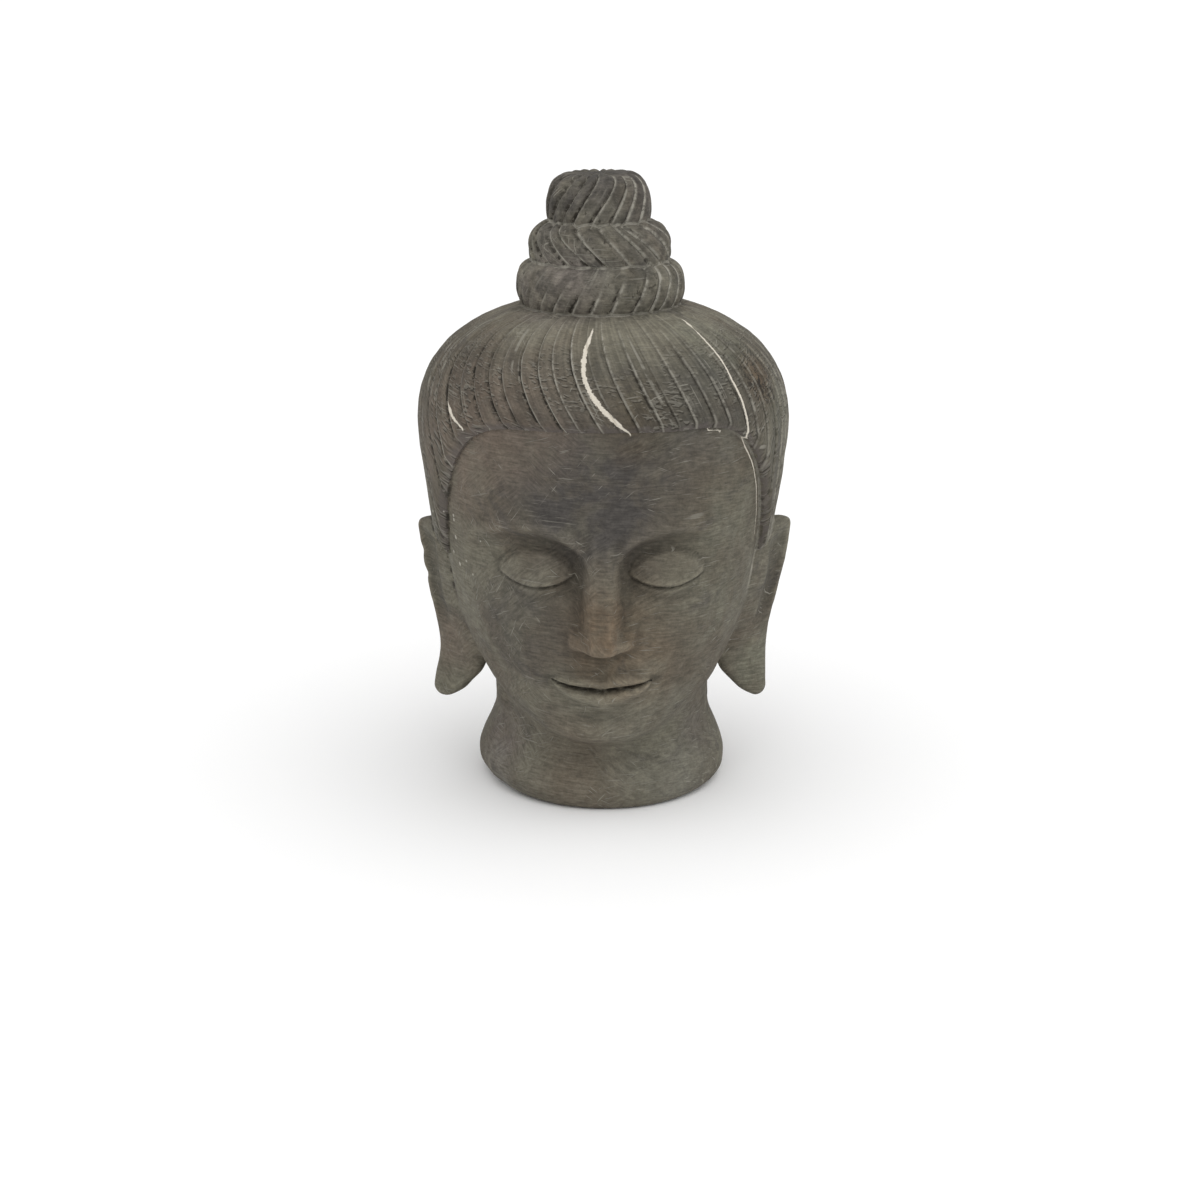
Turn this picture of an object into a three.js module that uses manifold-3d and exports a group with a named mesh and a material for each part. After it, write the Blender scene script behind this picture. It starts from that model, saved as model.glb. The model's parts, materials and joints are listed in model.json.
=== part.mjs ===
// A carved stone head on its own flared neck: one block of soft grey-green stone, cut flat below.
// Millimetres, +Z up. The face looks along -Y, and the origin is the middle of the flat underside.

import * as THREE from 'three';
import { ParametricGeometry } from 'three/addons/geometries/ParametricGeometry.js';
import { mergeVertices } from 'three/addons/utils/BufferGeometryUtils.js';
import Module from 'manifold-3d';

const { clamp, degToRad, lerp, smoothstep } = THREE.MathUtils;
const FULL_TURN = 2 * Math.PI;

// Driving dimensions
const HAIRLINE = 167; // front edge of the hair, above the underside
const CHIN = 29; // lowest point of the chin
const FACE_WIDTH = 132;

// The face has three equal thirds, hairline to brow, brow to nose base, nose base to chin,
// and is five eyes wide.
const THIRD = (HAIRLINE - CHIN) / 3;
const BROW = HAIRLINE - THIRD;
const NOSE_BASE = BROW - THIRD;
const NOSE_TIP = NOSE_BASE + 6;
const MOUTH = NOSE_BASE - THIRD / 3;
const EYE = FACE_WIDTH / 5;
const EYE_LEVEL = BROW - 0.3 * THIRD;
const MOUTH_HALF = 0.8 * EYE;

// Relief of the face. A swelling lies at a distance to the side of the middle line and at a level.
const BROW_ARCH = { from: 4, length: 50, innerDrop: 9, rise: 14, bend: 0.82 * Math.PI, ease: 0.75 };
const BROW_RIDGE = { height: 1.6, above: 2, width: 4 };
const BROW_ENDS = { inner: [5, 12], outer: [40, 58] };
const SOCKET = { inner: 6, outer: 2.2, upper: [0, 7], lower: [12, 32] };
const LIDS = { half: 0.58 * EYE, height: 10, bulge: 5.8, roundness: 0.6 };
const LID_PARTING = { below: 0.8, sag: 3.6, step: 1.8, edge: 1.5 };
const NOSE_BRIDGE = { rootHalf: 5, tipHalf: 8.5, rootHeight: 2.5, tipHeight: 15.5, rise: 1.15 };
const NOSE_SIDE = { flat: 0.3, foot: 1.7 }; // where the bridge rounds off and ends, in half-widths
const NOSE_UNDERSIDE = [NOSE_BASE - 1.5, NOSE_TIP - 1];
const NOSE_ROOT = [BROW - 4, BROW + 12];
const NOSE_WING = { side: 9.2, level: NOSE_TIP - 1, width: 5, height: 5.5, swell: 7.6 };
const MOUTH_CORNER_RISE = 2.4;
const MUZZLE = { side: 0, level: MOUTH + 3, width: 24, height: 17, swell: 2.4 };
const UPPER_LIP = { side: 0, level: 4, width: 0.68 * MOUTH_HALF, height: 3.4, swell: 3 };
const LOWER_LIP = { side: 0, level: -4.8, width: 0.56 * MOUTH_HALF, height: 4, swell: 3.8 };
const LIP_PARTING = { side: 0, level: 0, width: 0.8 * MOUTH_HALF, height: 1.6, swell: -2 };
const MOUTH_CORNER = { side: MOUTH_HALF + 1, level: 0, width: 4, height: 3.5, swell: -1.4 };
const CHIN_CREASE = { side: 0, level: MOUTH - 13, width: 15, height: 4, swell: -1.6 };
const CHIN_BALL = { side: 0, level: CHIN + 10, width: 17, height: 11, swell: 4 };
const CHEEK = { side: 34, level: NOSE_BASE + 8, width: 17, height: 19, swell: 2.6 };
const FACE_ENDS = [0.05, 0.35]; // the relief fades out between these cosines of the turn from the front

// Neck, a short column with a swelling lip at its foot, deeper in front than it is wide
const NECK = {
  lipHeight: 9,
  waistHeight: 33,
  side: { foot: 42.8, lip: 53.8, waist: 46.3 },
  front: { foot: 52.5, lip: 57, waist: 49 },
  back: { foot: 48, lip: 54, waist: 47 },
};
const FOOT_SHIFT = 1.5; // the flat underside lies a little to the right of the neck's middle

// Jaw, the edge where the face turns under into the neck: lowest at the chin, rising to the ear and nape.
const JAW = { chinDrop: 3, underside: 12 };
const JAW_RISE = { height: 22, within: [0.05, 0.55] }; // within shares of the half turn from front to back
const NAPE_RISE = { height: 16, within: [0.5, 0.9] };

// Face and hair as eggs, widest at one level and closing above and below it by a power curve
const FACE = {
  widest: 150,
  halfWidth: 73,
  down: 136,
  power: 2,
  front: 73.5,
  frontDown: 190,
  frontPower: 2.6,
};
const HAIR = {
  widest: 157,
  halfWidth: 78.2,
  front: 77,
  back: 82,
  up: 52,
  upPower: 2.35,
  down: 237,
  downPower: 1.4,
  backDown: 118,
  backPower: 2.2,
};
const HAIR_SHIFT = 0.6; // the hair sits a little to the right of the face's middle
const SKULL_SHARE = 0.945; // the head under the hair, as a share of the hair's own size
const FOREHEAD_SHARE = 0.965; // the same in front, where the hair is thinner
const SQUARENESS = 2.08; // power of the level sections: 2 is an ellipse

// Locks of hair, combed down from the topknot and swept across the brow
const LOCK = { count: 60, groove: 1.5, flat: 0.27, rows: 7, fade: 0.35 };
const LOCK_SWEEP = { turn: degToRad(20), middle: degToRad(-40) }; // strongest to the left of the middle
const LOCK_TOP = degToRad(72); // where the locks start under the topknot, as an angle up the egg
const HAIR_EDGE = { skew: degToRad(2), sink: 3 };
const TEMPLE = { drop: 62, dropsIn: [degToRad(31), degToRad(78)], power: 1.5 };
const NAPE = { drop: 36, dropsIn: [degToRad(86), degToRad(149)] };
const HAIR_INSIDE = { rows: 3, tuck: 14, depth: 40, crown: 2 }; // the hair's hidden side, inside the head

// Topknot, three stacked rolls with grooves that slant like a rope's, to the other side on the middle roll
const ROLLS = [
  { level: 213, radius: 34.9, reach: 13, grooves: 26, twist: degToRad(22), flatness: 3.2, lean: -0.6 },
  { level: 229, radius: 29.5, reach: 12.3, grooves: 20, twist: degToRad(-52), flatness: 2.5, lean: -0.7 },
  { level: 245.6, radius: 21.7, reach: 14.4, grooves: 18, twist: degToRad(41), flatness: 2.5, lean: -1.3 },
];
// Section of a roll: tucked in at its foot, round at the side, and flat on top inside its rim
const ROLL = { rim: 0.56, sidePower: 2.2, footPower: 2, lowest: degToRad(-45), rows: 7 };
const ROLL_GROOVE = { depth: 1.5, atRim: 0.5, fade: 0.6 };

// Ears, flat flaps turned out from the head, with long lobes that hang free of the neck
const EAR = { top: 114.5, waist: 54, lobeTop: 50, bottom: 34.8, thickness: 4.6, middle: -6 };
const EAR_MESH = { columns: 12, rows: 11 };
const EAR_ROUND = { lobe: 5, top: 6, power: 0.75 }; // rounding of the ends, and of the flap's section
const EAR_TURN = { upper: degToRad(31), lobe: degToRad(56), between: [38, 89] }; // turn out to the front
const EAR_ROOT = { upper: 59.4, lobe: 50.4, between: [EAR.lobeTop, 96], slope: 0.9 }; // edge sunk in the head
const EAR_FLARE = [EAR.waist, EAR.top];
const LOBE_SWELL = [EAR.bottom, EAR.waist + 6];
const EAR_BOWL = { depth: 2.6, across: 0.3, half: 0.45, lower: [66, 80], upper: [102, 110] };
const EARS = [
  { side: -1, upper: 77.9, waist: 69.5, lobe: 72.6 },
  { side: 1, upper: 81, waist: 71, lobe: 70.9 },
];

// Mesh fineness of the head: columns around it, and rows in each zone from the underside to the crown
const HEAD_COLUMNS = 44;
const LOWER_ROWS = { lip: 3, neck: 2, jaw: 4, chin: 5 };
const UPPER_ROWS = { lip: 5, noseTip: 2, cheek: 6, eye: 6, forehead: 3, crown: 1 };
const FRONT_SPACING = 0.36; // of the columns in the middle of the face, as a share of their mean spacing
const ROW_GAP = 4; // least height of a zone above the jaw
const LID_DROP = 4; // the row under the lids, below the eye's level
const HEAD_TOP = 196;
const CROWN = 2; // rise of the hidden crown above the last row
const WELD = 1e-3; // corners closer than this are one corner

// Shape helpers

// What is left of an egg's width at a distance from its widest level: 1 there, 0 at its end.
function eggShare(distance, reach, power) {
  const inside = 1 - Math.min(1, Math.abs(distance) / reach) ** power;
  return inside ** (1 / power);
}

// Distance from the axis to a rounded level section, in the direction `turn` from the front.
function sectionRadius(turn, halfWidth, front, back) {
  const ahead = Math.cos(turn);
  const depth = ahead > 0 ? front : back;
  const sum = Math.abs(Math.sin(turn) / halfWidth) ** SQUARENESS + Math.abs(ahead / depth) ** SQUARENESS;
  return sum ** (-1 / SQUARENESS);
}

// A soft round swelling of the surface, or a hollow where its swell is negative.
function swelling(side, z, form) {
  const across = (side - form.side) / form.width;
  const up = (z - form.level) / form.height;
  return form.swell * Math.exp(-(across ** 2) - up ** 2);
}

// A smooth rise from 0 to 1 between two values.
function rise(value, [from, to]) {
  return smoothstep(value, from, to);
}

// Head, neck and face

function hairSection(z) {
  const above = z - HAIR.widest;
  if (above > 0) {
    const share = eggShare(above, HAIR.up, HAIR.upPower);
    return { halfWidth: HAIR.halfWidth * share, front: HAIR.front * share, back: HAIR.back * share };
  }
  const share = eggShare(above, HAIR.down, HAIR.downPower);
  const backShare = eggShare(above, HAIR.backDown, HAIR.backPower);
  return { halfWidth: HAIR.halfWidth * share, front: HAIR.front, back: HAIR.back * backShare };
}

function faceRadius(turn, z) {
  const hair = hairSection(z);
  const below = Math.max(0, FACE.widest - z);
  const halfWidth = FACE.halfWidth * eggShare(below, FACE.down, FACE.power);
  const front = FACE.front * eggShare(below, FACE.frontDown, FACE.frontPower);
  return sectionRadius(
    turn,
    Math.min(halfWidth, SKULL_SHARE * hair.halfWidth),
    Math.min(front, FOREHEAD_SHARE * hair.front),
    SKULL_SHARE * hair.back,
  );
}

// Reach of the neck to one side: a quarter round from the foot out to the lip, then an ease in to the waist.
function neckReach({ foot, lip, waist }, z) {
  if (z < NECK.lipHeight) {
    return lerp(foot, lip, Math.sqrt(1 - (1 - z / NECK.lipHeight) ** 2));
  }
  return lerp(lip, waist, smoothstep(z, NECK.lipHeight, NECK.waistHeight));
}

function neckRadius(turn, z) {
  return sectionRadius(turn, neckReach(NECK.side, z), neckReach(NECK.front, z), neckReach(NECK.back, z));
}

function jawLevel(turn) {
  const around = Math.abs(turn) / Math.PI;
  const ear = JAW_RISE.height * rise(around, JAW_RISE.within);
  const nape = NAPE_RISE.height * rise(around, NAPE_RISE.within);
  return CHIN - JAW.chinDrop + ear + nape;
}

function headRadius(turn, z) {
  const jaw = jawLevel(turn);
  if (z <= jaw) {
    return neckRadius(turn, z);
  }
  return lerp(neckRadius(turn, z), faceRadius(turn, z), smoothstep(z, jaw, jaw + JAW.underside));
}

// Brow line: from the side of the nose in one arch over the eye.
function browLevel(side) {
  const along = clamp((side - BROW_ARCH.from) / BROW_ARCH.length, 0, 1);
  return BROW - BROW_ARCH.innerDrop + BROW_ARCH.rise * Math.sin(BROW_ARCH.bend * along ** BROW_ARCH.ease);
}

function browAndSocket(side, z) {
  const under = browLevel(side) - z;
  const reach = rise(side, BROW_ENDS.inner) * (1 - rise(side, BROW_ENDS.outer));
  const ridge = BROW_RIDGE.height * Math.exp(-(((under + BROW_RIDGE.above) / BROW_RIDGE.width) ** 2));
  const depth = lerp(SOCKET.inner, SOCKET.outer, rise(side, [BROW_ENDS.inner[1], BROW_ENDS.outer[0]]));
  const socket = depth * rise(under, SOCKET.upper) * (1 - rise(under, SOCKET.lower));
  return reach * (ridge - socket);
}

// Closed eye: the lids over the eyeball, parted by the curved lower edge of the upper lid.
function eyelids(side, z) {
  const across = (side - EYE) / LIDS.half;
  const up = (z - EYE_LEVEL) / LIDS.height;
  const ball = 1 - across ** 2 - up ** 2;
  if (ball <= 0) {
    return 0;
  }
  const parting = EYE_LEVEL - LID_PARTING.below - LID_PARTING.sag * (1 - across ** 2);
  const lowerLid = 1 - rise(z, [parting - LID_PARTING.edge, parting + LID_PARTING.edge]);
  return LIDS.bulge * ball ** LIDS.roundness - LID_PARTING.step * lowerLid * ball ** (LIDS.roundness / 2);
}

function nose(side, z) {
  const along = clamp((BROW - z) / (BROW - NOSE_TIP), 0, 1);
  const half = lerp(NOSE_BRIDGE.rootHalf, NOSE_BRIDGE.tipHalf, along);
  const height = lerp(NOSE_BRIDGE.rootHeight, NOSE_BRIDGE.tipHeight, along ** NOSE_BRIDGE.rise);
  const across = 1 - rise(side, [NOSE_SIDE.flat * half, NOSE_SIDE.foot * half]);
  const bridge = height * across * (1 - rise(z, NOSE_ROOT));
  return rise(z, NOSE_UNDERSIDE) * Math.hypot(bridge, swelling(side, z, NOSE_WING));
}

// Line between the lips, with its ends turned up.
function mouthLevel(side) {
  return MOUTH + MOUTH_CORNER_RISE * Math.min(1, side / MOUTH_HALF) ** 2;
}

function mouth(side, z) {
  const above = z - mouthLevel(side);
  const lips = swelling(side, above, UPPER_LIP) + swelling(side, above, LOWER_LIP);
  const lines = swelling(side, above, LIP_PARTING) + swelling(side, above, MOUTH_CORNER);
  return swelling(side, z, MUZZLE) + lips + lines;
}

function chinAndCheeks(side, z) {
  return swelling(side, z, CHIN_CREASE) + swelling(side, z, CHIN_BALL) + swelling(side, z, CHEEK);
}

// Forward relief of the face over its blank.
function faceRelief(x, z) {
  const side = Math.abs(x);
  return browAndSocket(side, z) + eyelids(side, z) + nose(side, z) + mouth(side, z) + chinAndCheeks(side, z);
}

// Levels of the rows at one place around the head: they run along the jaw, mouth, nose base, lid and brow.
function headLevels(turn) {
  const jaw = jawLevel(turn);
  const cheek = jaw + JAW.underside;
  const side = Math.abs(FACE.front * Math.sin(turn));
  const zones = [
    [NECK.lipHeight, LOWER_ROWS.lip],
    [jaw, LOWER_ROWS.neck],
    [cheek, LOWER_ROWS.jaw],
    [Math.max(mouthLevel(side), cheek + ROW_GAP), LOWER_ROWS.chin],
    [Math.max(NOSE_BASE, cheek + 2 * ROW_GAP), UPPER_ROWS.lip],
    [Math.max(NOSE_TIP, cheek + 3 * ROW_GAP), UPPER_ROWS.noseTip],
    [EYE_LEVEL - LID_DROP, UPPER_ROWS.cheek],
    [browLevel(side), UPPER_ROWS.eye],
    [HAIRLINE + ROW_GAP, UPPER_ROWS.forehead],
    [HEAD_TOP, UPPER_ROWS.crown],
  ];
  const levels = [0];
  for (const [to, rows] of zones) {
    const from = levels.at(-1);
    for (let row = 1; row <= rows; row++) {
      levels.push(lerp(from, to, row / rows));
    }
  }
  return levels;
}

function headForm() {
  const rows = headLevels(0).length + 1;
  const place = (u, v, point) => {
    const row = Math.round(v * rows);
    if (row === 0 || row === rows) {
      point.set(0, 0, row === 0 ? 0 : HEAD_TOP + CROWN);
      return;
    }
    const share = 2 * u - 1;
    const turn = Math.PI * lerp(share ** 3, share, FRONT_SPACING);
    const z = headLevels(turn)[row - 1];
    const radius = headRadius(turn, z);
    const x = radius * Math.sin(turn);
    const facing = rise(Math.cos(turn), FACE_ENDS);
    const shift = FOOT_SHIFT * (1 - smoothstep(z, 0, NECK.lipHeight));
    point.set(x + shift, -radius * Math.cos(turn) - facing * faceRelief(x, z), z);
  };
  return new ParametricGeometry(place, HEAD_COLUMNS, rows);
}

// Hair

function hairlineLevel(turn) {
  const around = Math.abs(turn - HAIR_EDGE.skew);
  const temple = TEMPLE.drop * rise(around, TEMPLE.dropsIn) ** TEMPLE.power;
  return HAIRLINE - temple - NAPE.drop * rise(around, NAPE.dropsIn);
}

// Height up the hair's egg as an angle: 0 at its widest level, a quarter turn at its top.
function hairAngle(z) {
  const above = z - HAIR.widest;
  return above > 0 ? Math.asin((above / HAIR.up) ** (HAIR.upPower / 2)) : Math.asin(above / HAIR.backDown);
}

function hairLevel(angle) {
  const sine = Math.sin(angle);
  return HAIR.widest + (sine > 0 ? HAIR.up * sine ** (2 / HAIR.upPower) : HAIR.backDown * sine);
}

// One point of the hair's surface: `turn` at the hairline, `share` from the topknot (0) to the hairline (1).
function hairPoint(turn, share, cut, point) {
  const sweep = LOCK_SWEEP.turn * ((1 + Math.cos(turn - LOCK_SWEEP.middle)) / 2) ** 2;
  const at = turn - sweep * (1 - share ** 2);
  const angle = lerp(LOCK_TOP, hairAngle(hairlineLevel(turn)), share);
  const z = hairLevel(angle);
  const section = hairSection(z);
  const radius = sectionRadius(at, section.halfWidth, section.front, section.back) - cut * Math.cos(angle);
  const lowered = cut * Math.max(0, Math.sin(angle));
  point.set(HAIR_SHIFT + radius * Math.sin(at), -radius * Math.cos(at), z - lowered);
}

function hairForm() {
  const columnsPerLock = 3; // the groove, and the two edges of the flat lock beside it
  const columns = LOCK.count * columnsPerLock;
  const rows = LOCK.rows + HAIR_INSIDE.rows;
  const place = (u, v, point) => {
    const row = Math.round(v * rows);
    if (row === 0 || row === rows) {
      point.set(0, 0, row === 0 ? HAIR.widest - HAIR_INSIDE.depth : hairLevel(LOCK_TOP) - HAIR_INSIDE.crown);
      return;
    }
    const column = Math.round(u * columns);
    const part = column % columnsPerLock;
    const within = [0, LOCK.flat, 1 - LOCK.flat][part];
    const turn = (FULL_TURN * (Math.floor(column / columnsPerLock) + within)) / LOCK.count - Math.PI;
    const share = clamp((rows - 1 - row) / LOCK.rows, 0, 1);
    const groove = part === 0 ? LOCK.groove * smoothstep(share, 0, LOCK.fade) : 0;
    const tucked = row === 1 ? HAIR_INSIDE.tuck : 0;
    const edge = row === 2 ? HAIR_EDGE.sink : 0;
    hairPoint(turn, share, groove + edge + tucked, point);
  };
  return new ParametricGeometry(place, columns, rows);
}

// Topknot

function rollForm({ level, radius, reach, grooves, twist, flatness, lean }) {
  const columns = 2 * grooves; // groove and ridge by turns
  const place = (u, v, point) => {
    const row = Math.round(v * ROLL.rows);
    if (row === 0 || row === ROLL.rows) {
      point.set(lean, 0, row === 0 ? level - reach : level + reach);
      return;
    }
    const angle = lerp(ROLL.lowest, Math.PI / 2, (row - 1) / (ROLL.rows - 2));
    const sine = Math.sin(angle);
    const cosine = Math.max(0, Math.cos(angle));
    const up = sine > 0 ? sine ** (2 / flatness) : -(Math.abs(sine) ** (2 / ROLL.footPower));
    const turn = FULL_TURN * u - Math.PI + (twist * up) / 2;
    const ridge = Math.round(u * columns) % 2;
    const cut = ridge ? 0 : ROLL_GROOVE.depth * lerp(ROLL_GROOVE.atRim, 1, cosine ** ROLL_GROOVE.fade);
    const out = radius * lerp(ROLL.rim, 1, cosine ** (2 / ROLL.sidePower)) - cut * cosine;
    const z = level + reach * up - cut * Math.max(0, sine);
    point.set(lean + out * Math.sin(turn), -out * Math.cos(turn), z);
  };
  return new ParametricGeometry(place, columns, ROLL.rows);
}

// Ears

// Edges of the ear seen from the front, as distances from the middle of the head.
function earOuterEdge({ upper, waist, lobe }, z) {
  return waist + (upper - waist) * rise(z, EAR_FLARE) + (lobe - waist) * (1 - rise(z, LOBE_SWELL));
}

function earInnerEdge(z) {
  const attached = lerp(EAR_ROOT.lobe, EAR_ROOT.upper, rise(z, EAR_ROOT.between));
  return attached + EAR_ROOT.slope * Math.max(0, EAR.lobeTop - z);
}

// A power curve between -1 and 1 that squares a circle's sine or cosine.
function squared(value) {
  return Math.sign(value) * Math.abs(value) ** EAR_ROUND.power;
}

// Hollow inside the ear's rim, deepest in the middle of the upper flap.
function earHollow(across, z) {
  const bowl = Math.max(0, 1 - ((across - EAR_BOWL.across) / EAR_BOWL.half) ** 2);
  return EAR_BOWL.depth * bowl * rise(z, EAR_BOWL.lower) * (1 - rise(z, EAR_BOWL.upper));
}

function earForm(ear) {
  const place = (u, v, point) => {
    const z = lerp(EAR.bottom, EAR.top, (1 - Math.cos(Math.PI * v)) / 2);
    const lobeRound = Math.sqrt(1 - (1 - clamp((z - EAR.bottom) / EAR_ROUND.lobe, 0, 1)) ** 2);
    const topRound = Math.sqrt(1 - (1 - clamp((EAR.top - z) / EAR_ROUND.top, 0, 1)) ** 2);
    const round = lobeRound * topRound;
    const turnOut = lerp(EAR_TURN.lobe, EAR_TURN.upper, rise(z, EAR_TURN.between));
    const outer = earOuterEdge(ear, z);
    const inner = earInnerEdge(z);
    const halfWidth = (outer - inner) / (2 * Math.sin(turnOut));
    const angle = -ear.side * FULL_TURN * u;
    const across = squared(Math.cos(angle)) * round;
    const face = squared(Math.sin(angle)) * EAR.thickness * round;
    const through = face > 0 ? face - earHollow(across, z) : face;
    const x = (outer + inner) / 2 + across * halfWidth * Math.sin(turnOut) + through * Math.cos(turnOut);
    const y = EAR.middle + across * halfWidth * Math.cos(turnOut) - through * Math.sin(turnOut);
    point.set(ear.side * x, y, z);
  };
  return new ParametricGeometry(place, EAR_MESH.columns, EAR_MESH.rows);
}

// Solids

const wasm = await Module();
wasm.setup();

function solid(geometry) {
  geometry.deleteAttribute('normal');
  geometry.deleteAttribute('uv');
  const merged = mergeVertices(geometry, WELD);
  const corners = merged.index.array;
  const kept = [];
  for (let i = 0; i < corners.length; i += 3) {
    const [a, b, c] = corners.slice(i, i + 3);
    if (a !== b && b !== c && c !== a) {
      kept.push(a, b, c);
    }
  }
  const vertProperties = merged.getAttribute('position').array;
  return new wasm.Manifold(new wasm.Mesh({ numProp: 3, vertProperties, triVerts: new Uint32Array(kept) }));
}

function geometryOf(made) {
  const { vertProperties, triVerts } = made.getMesh();
  const geometry = new THREE.BufferGeometry();
  geometry.setAttribute('position', new THREE.BufferAttribute(vertProperties, 3));
  geometry.setIndex(new THREE.BufferAttribute(triVerts, 1));
  geometry.computeVertexNormals();
  return geometry;
}

const forms = [hairForm(), ...ROLLS.map(rollForm), ...EARS.map(earForm)];
const head = forms.reduce((whole, form) => whole.add(solid(form)), solid(headForm()));

const stone = new THREE.MeshStandardMaterial({ color: 0x66635a, roughness: 0.85, metalness: 0 });
const carvedHead = new THREE.Mesh(geometryOf(head), stone);
carvedHead.name = 'carved_stone_head';

const part = new THREE.Group();
part.add(carvedHead);

export default part;
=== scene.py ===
import json
import math
from functools import partial
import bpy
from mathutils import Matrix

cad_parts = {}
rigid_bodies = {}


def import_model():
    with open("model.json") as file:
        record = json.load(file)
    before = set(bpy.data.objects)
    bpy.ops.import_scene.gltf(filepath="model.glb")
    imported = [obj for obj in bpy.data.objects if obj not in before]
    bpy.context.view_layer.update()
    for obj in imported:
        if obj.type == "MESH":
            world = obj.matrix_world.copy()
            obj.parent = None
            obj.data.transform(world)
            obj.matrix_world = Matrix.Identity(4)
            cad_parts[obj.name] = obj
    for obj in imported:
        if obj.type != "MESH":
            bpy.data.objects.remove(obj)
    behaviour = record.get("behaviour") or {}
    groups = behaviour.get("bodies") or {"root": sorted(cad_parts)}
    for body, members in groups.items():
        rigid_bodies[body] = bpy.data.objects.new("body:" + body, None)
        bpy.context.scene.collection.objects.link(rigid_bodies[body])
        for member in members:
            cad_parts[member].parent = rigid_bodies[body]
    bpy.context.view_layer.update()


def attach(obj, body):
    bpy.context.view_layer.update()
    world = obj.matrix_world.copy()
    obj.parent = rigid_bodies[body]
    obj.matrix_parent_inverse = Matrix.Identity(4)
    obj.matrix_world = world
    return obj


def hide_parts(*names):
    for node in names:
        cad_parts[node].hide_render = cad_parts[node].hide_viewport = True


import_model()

from types import SimpleNamespace

import bpy
import numpy as np
from mathutils.kdtree import KDTree

# Carved stone head on its own flared neck, one block. Shape sizes are in millimetres in the frame's own
# axes: +Z up from the flat underside, the face looks along -Y.
MM = 0.001
NODE = "carved_stone_head"
FULL_TURN = 2 * math.pi

# A distance beyond every mark on the stone, in the mark's own unit
FAR = 99.0

# Face: three equal thirds between hairline and chin, five eyes wide
HAIRLINE = 167.0
CHIN = 29.0
FACE_WIDTH = 132.0
THIRD = (HAIRLINE - CHIN) / 3
BROW = HAIRLINE - THIRD
NOSE_BASE = BROW - THIRD
NOSE_TIP = NOSE_BASE + 6
MOUTH = NOSE_BASE - THIRD / 3
EYE = FACE_WIDTH / 5
EYE_LEVEL = BROW - 0.3 * THIRD
EYELID_HALF = 0.58 * EYE
MOUTH_HALF = 0.8 * EYE

# Relief of the face: heights of its ridges and swellings, depths of its hollows
BROW_RIDGE = 1.7
SOCKET_INNER = 6.0
SOCKET_OUTER = 2.2
EYEBALL = 5.8
EYELID_STEP = 1.3
EYELID_BOW = 3.6
NOSE_ROOT = 2.5
NOSE_HEIGHT = 15.0
NOSE_END = 2.2
NOSE_WING = 9.0
NOSTRIL = 2.6
MUZZLE = 2.4
UPPER_LIP = 3.2
LOWER_LIP = 4.2
LIP_BORDER = 0.5
LIP_PARTING = 1.6
CHIN_SWELL = 4.0
CHIN_CREASE = 2.3
CHEEK_SWELL = 2.6

# Distances at which the face is set against its surroundings, and the height that counts as a full ridge,
# for the painted shade in its hollows and painted highlight on its ridges
SHADE_AND_HIGHLIGHT_STEPS = ((4.0, 2.2), (1.5, 0.6))

# Neck, with a swelling lip at its foot: reach of foot, lip and waist to each side
LIP_HEIGHT = 9.0
WAIST_HEIGHT = 33.0
NECK_SIDE = (42.8, 53.8, 46.3)
NECK_FRONT = (52.5, 57.0, 49.0)
NECK_BACK = (48.0, 54.0, 47.0)
FOOT_SHIFT = 1.5

# Small chips along the foot's lip: turn from the front in degrees, level, depth, width and height
FOOT_CHIPS = ((-68, 8, 0.9, 5, 3), (-55, 5, 1.1, 4, 2.5), (-40, 6, 0.6, 5, 2))

# Jaw, the edge where the face turns under into the neck
JAW_RISE = 22.0
NAPE_RISE = 16.0
JAW_UNDERSIDE = 12.0

# Face and hair as eggs: widest level, reach at that level, and how they close above and below it
FACE_WIDEST = 150.0
FACE_HALF = 73.0
FACE_DOWN = 136.0
FACE_POWER = 2.0
FACE_FRONT = 73.5
FACE_FRONT_DOWN = 190.0
FACE_FRONT_POWER = 2.6
HAIR_WIDEST = 157.0
HAIR_HALF = 78.2
HAIR_FRONT = 77.0
HAIR_BACK = 82.0
HAIR_UP = 52.0
HAIR_UP_POWER = 2.35
HAIR_SIDE_DOWN = 237.0
HAIR_SIDE_POWER = 1.4
HAIR_BACK_DOWN = 118.0
HAIR_BACK_POWER = 2.2
HAIR_SHIFT = 0.6
SKULL_SHARE = 0.945
FOREHEAD_SHARE = 0.965
SQUARENESS = 2.08
HEAD_TOP = 196.0

# Locks of hair: where they start on the egg, their sweep to one side, and depths of groove and slope
LOCKS = 60
LOCK_TOP = math.radians(72)
LOCK_SWEEP = math.radians(20)
LOCK_SWEEP_FROM = math.radians(-40)
LOCK_GROOVE = 0.9
LOCK_SLOPE = 0.7
FRONT_LOCK_LENGTH = 62.0
COMB_RADIUS = HAIR_FRONT

# Lower edge of the hair: it drops at the temples and again at the nape, between turns in radians
EDGE_CORNER = math.radians(25.5)
EDGE_TEMPLE = math.radians(69.6)
EDGE_DROP = 62.0
EDGE_NAPE = 36.0
EDGE_NAPE_TURNS = (1.5, 2.6)
EDGE_SKEW = math.radians(2.0)
EDGE_ROUNDING = 2.5

# Rolls of the topknot, lowest first: level, radius, reach, grooves, twist in degrees, flatness, lean
ROLLS = (
    (213.0, 34.9, 13.0, 26, 22.0, 3.2, -0.6),
    (229.0, 29.5, 12.3, 20, -52.0, 2.5, -0.7),
    (245.6, 21.7, 14.4, 18, 41.0, 2.5, -1.3),
)
ROLL_GROOVE = 1.0
ROLL_SWELL = 0.3
ROLL_RIM = 0.56
ROLL_SIDE_POWER = 2.2
ROLL_FOOT_POWER = 2.0
ROLL_LOWEST = math.radians(-45)

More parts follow.
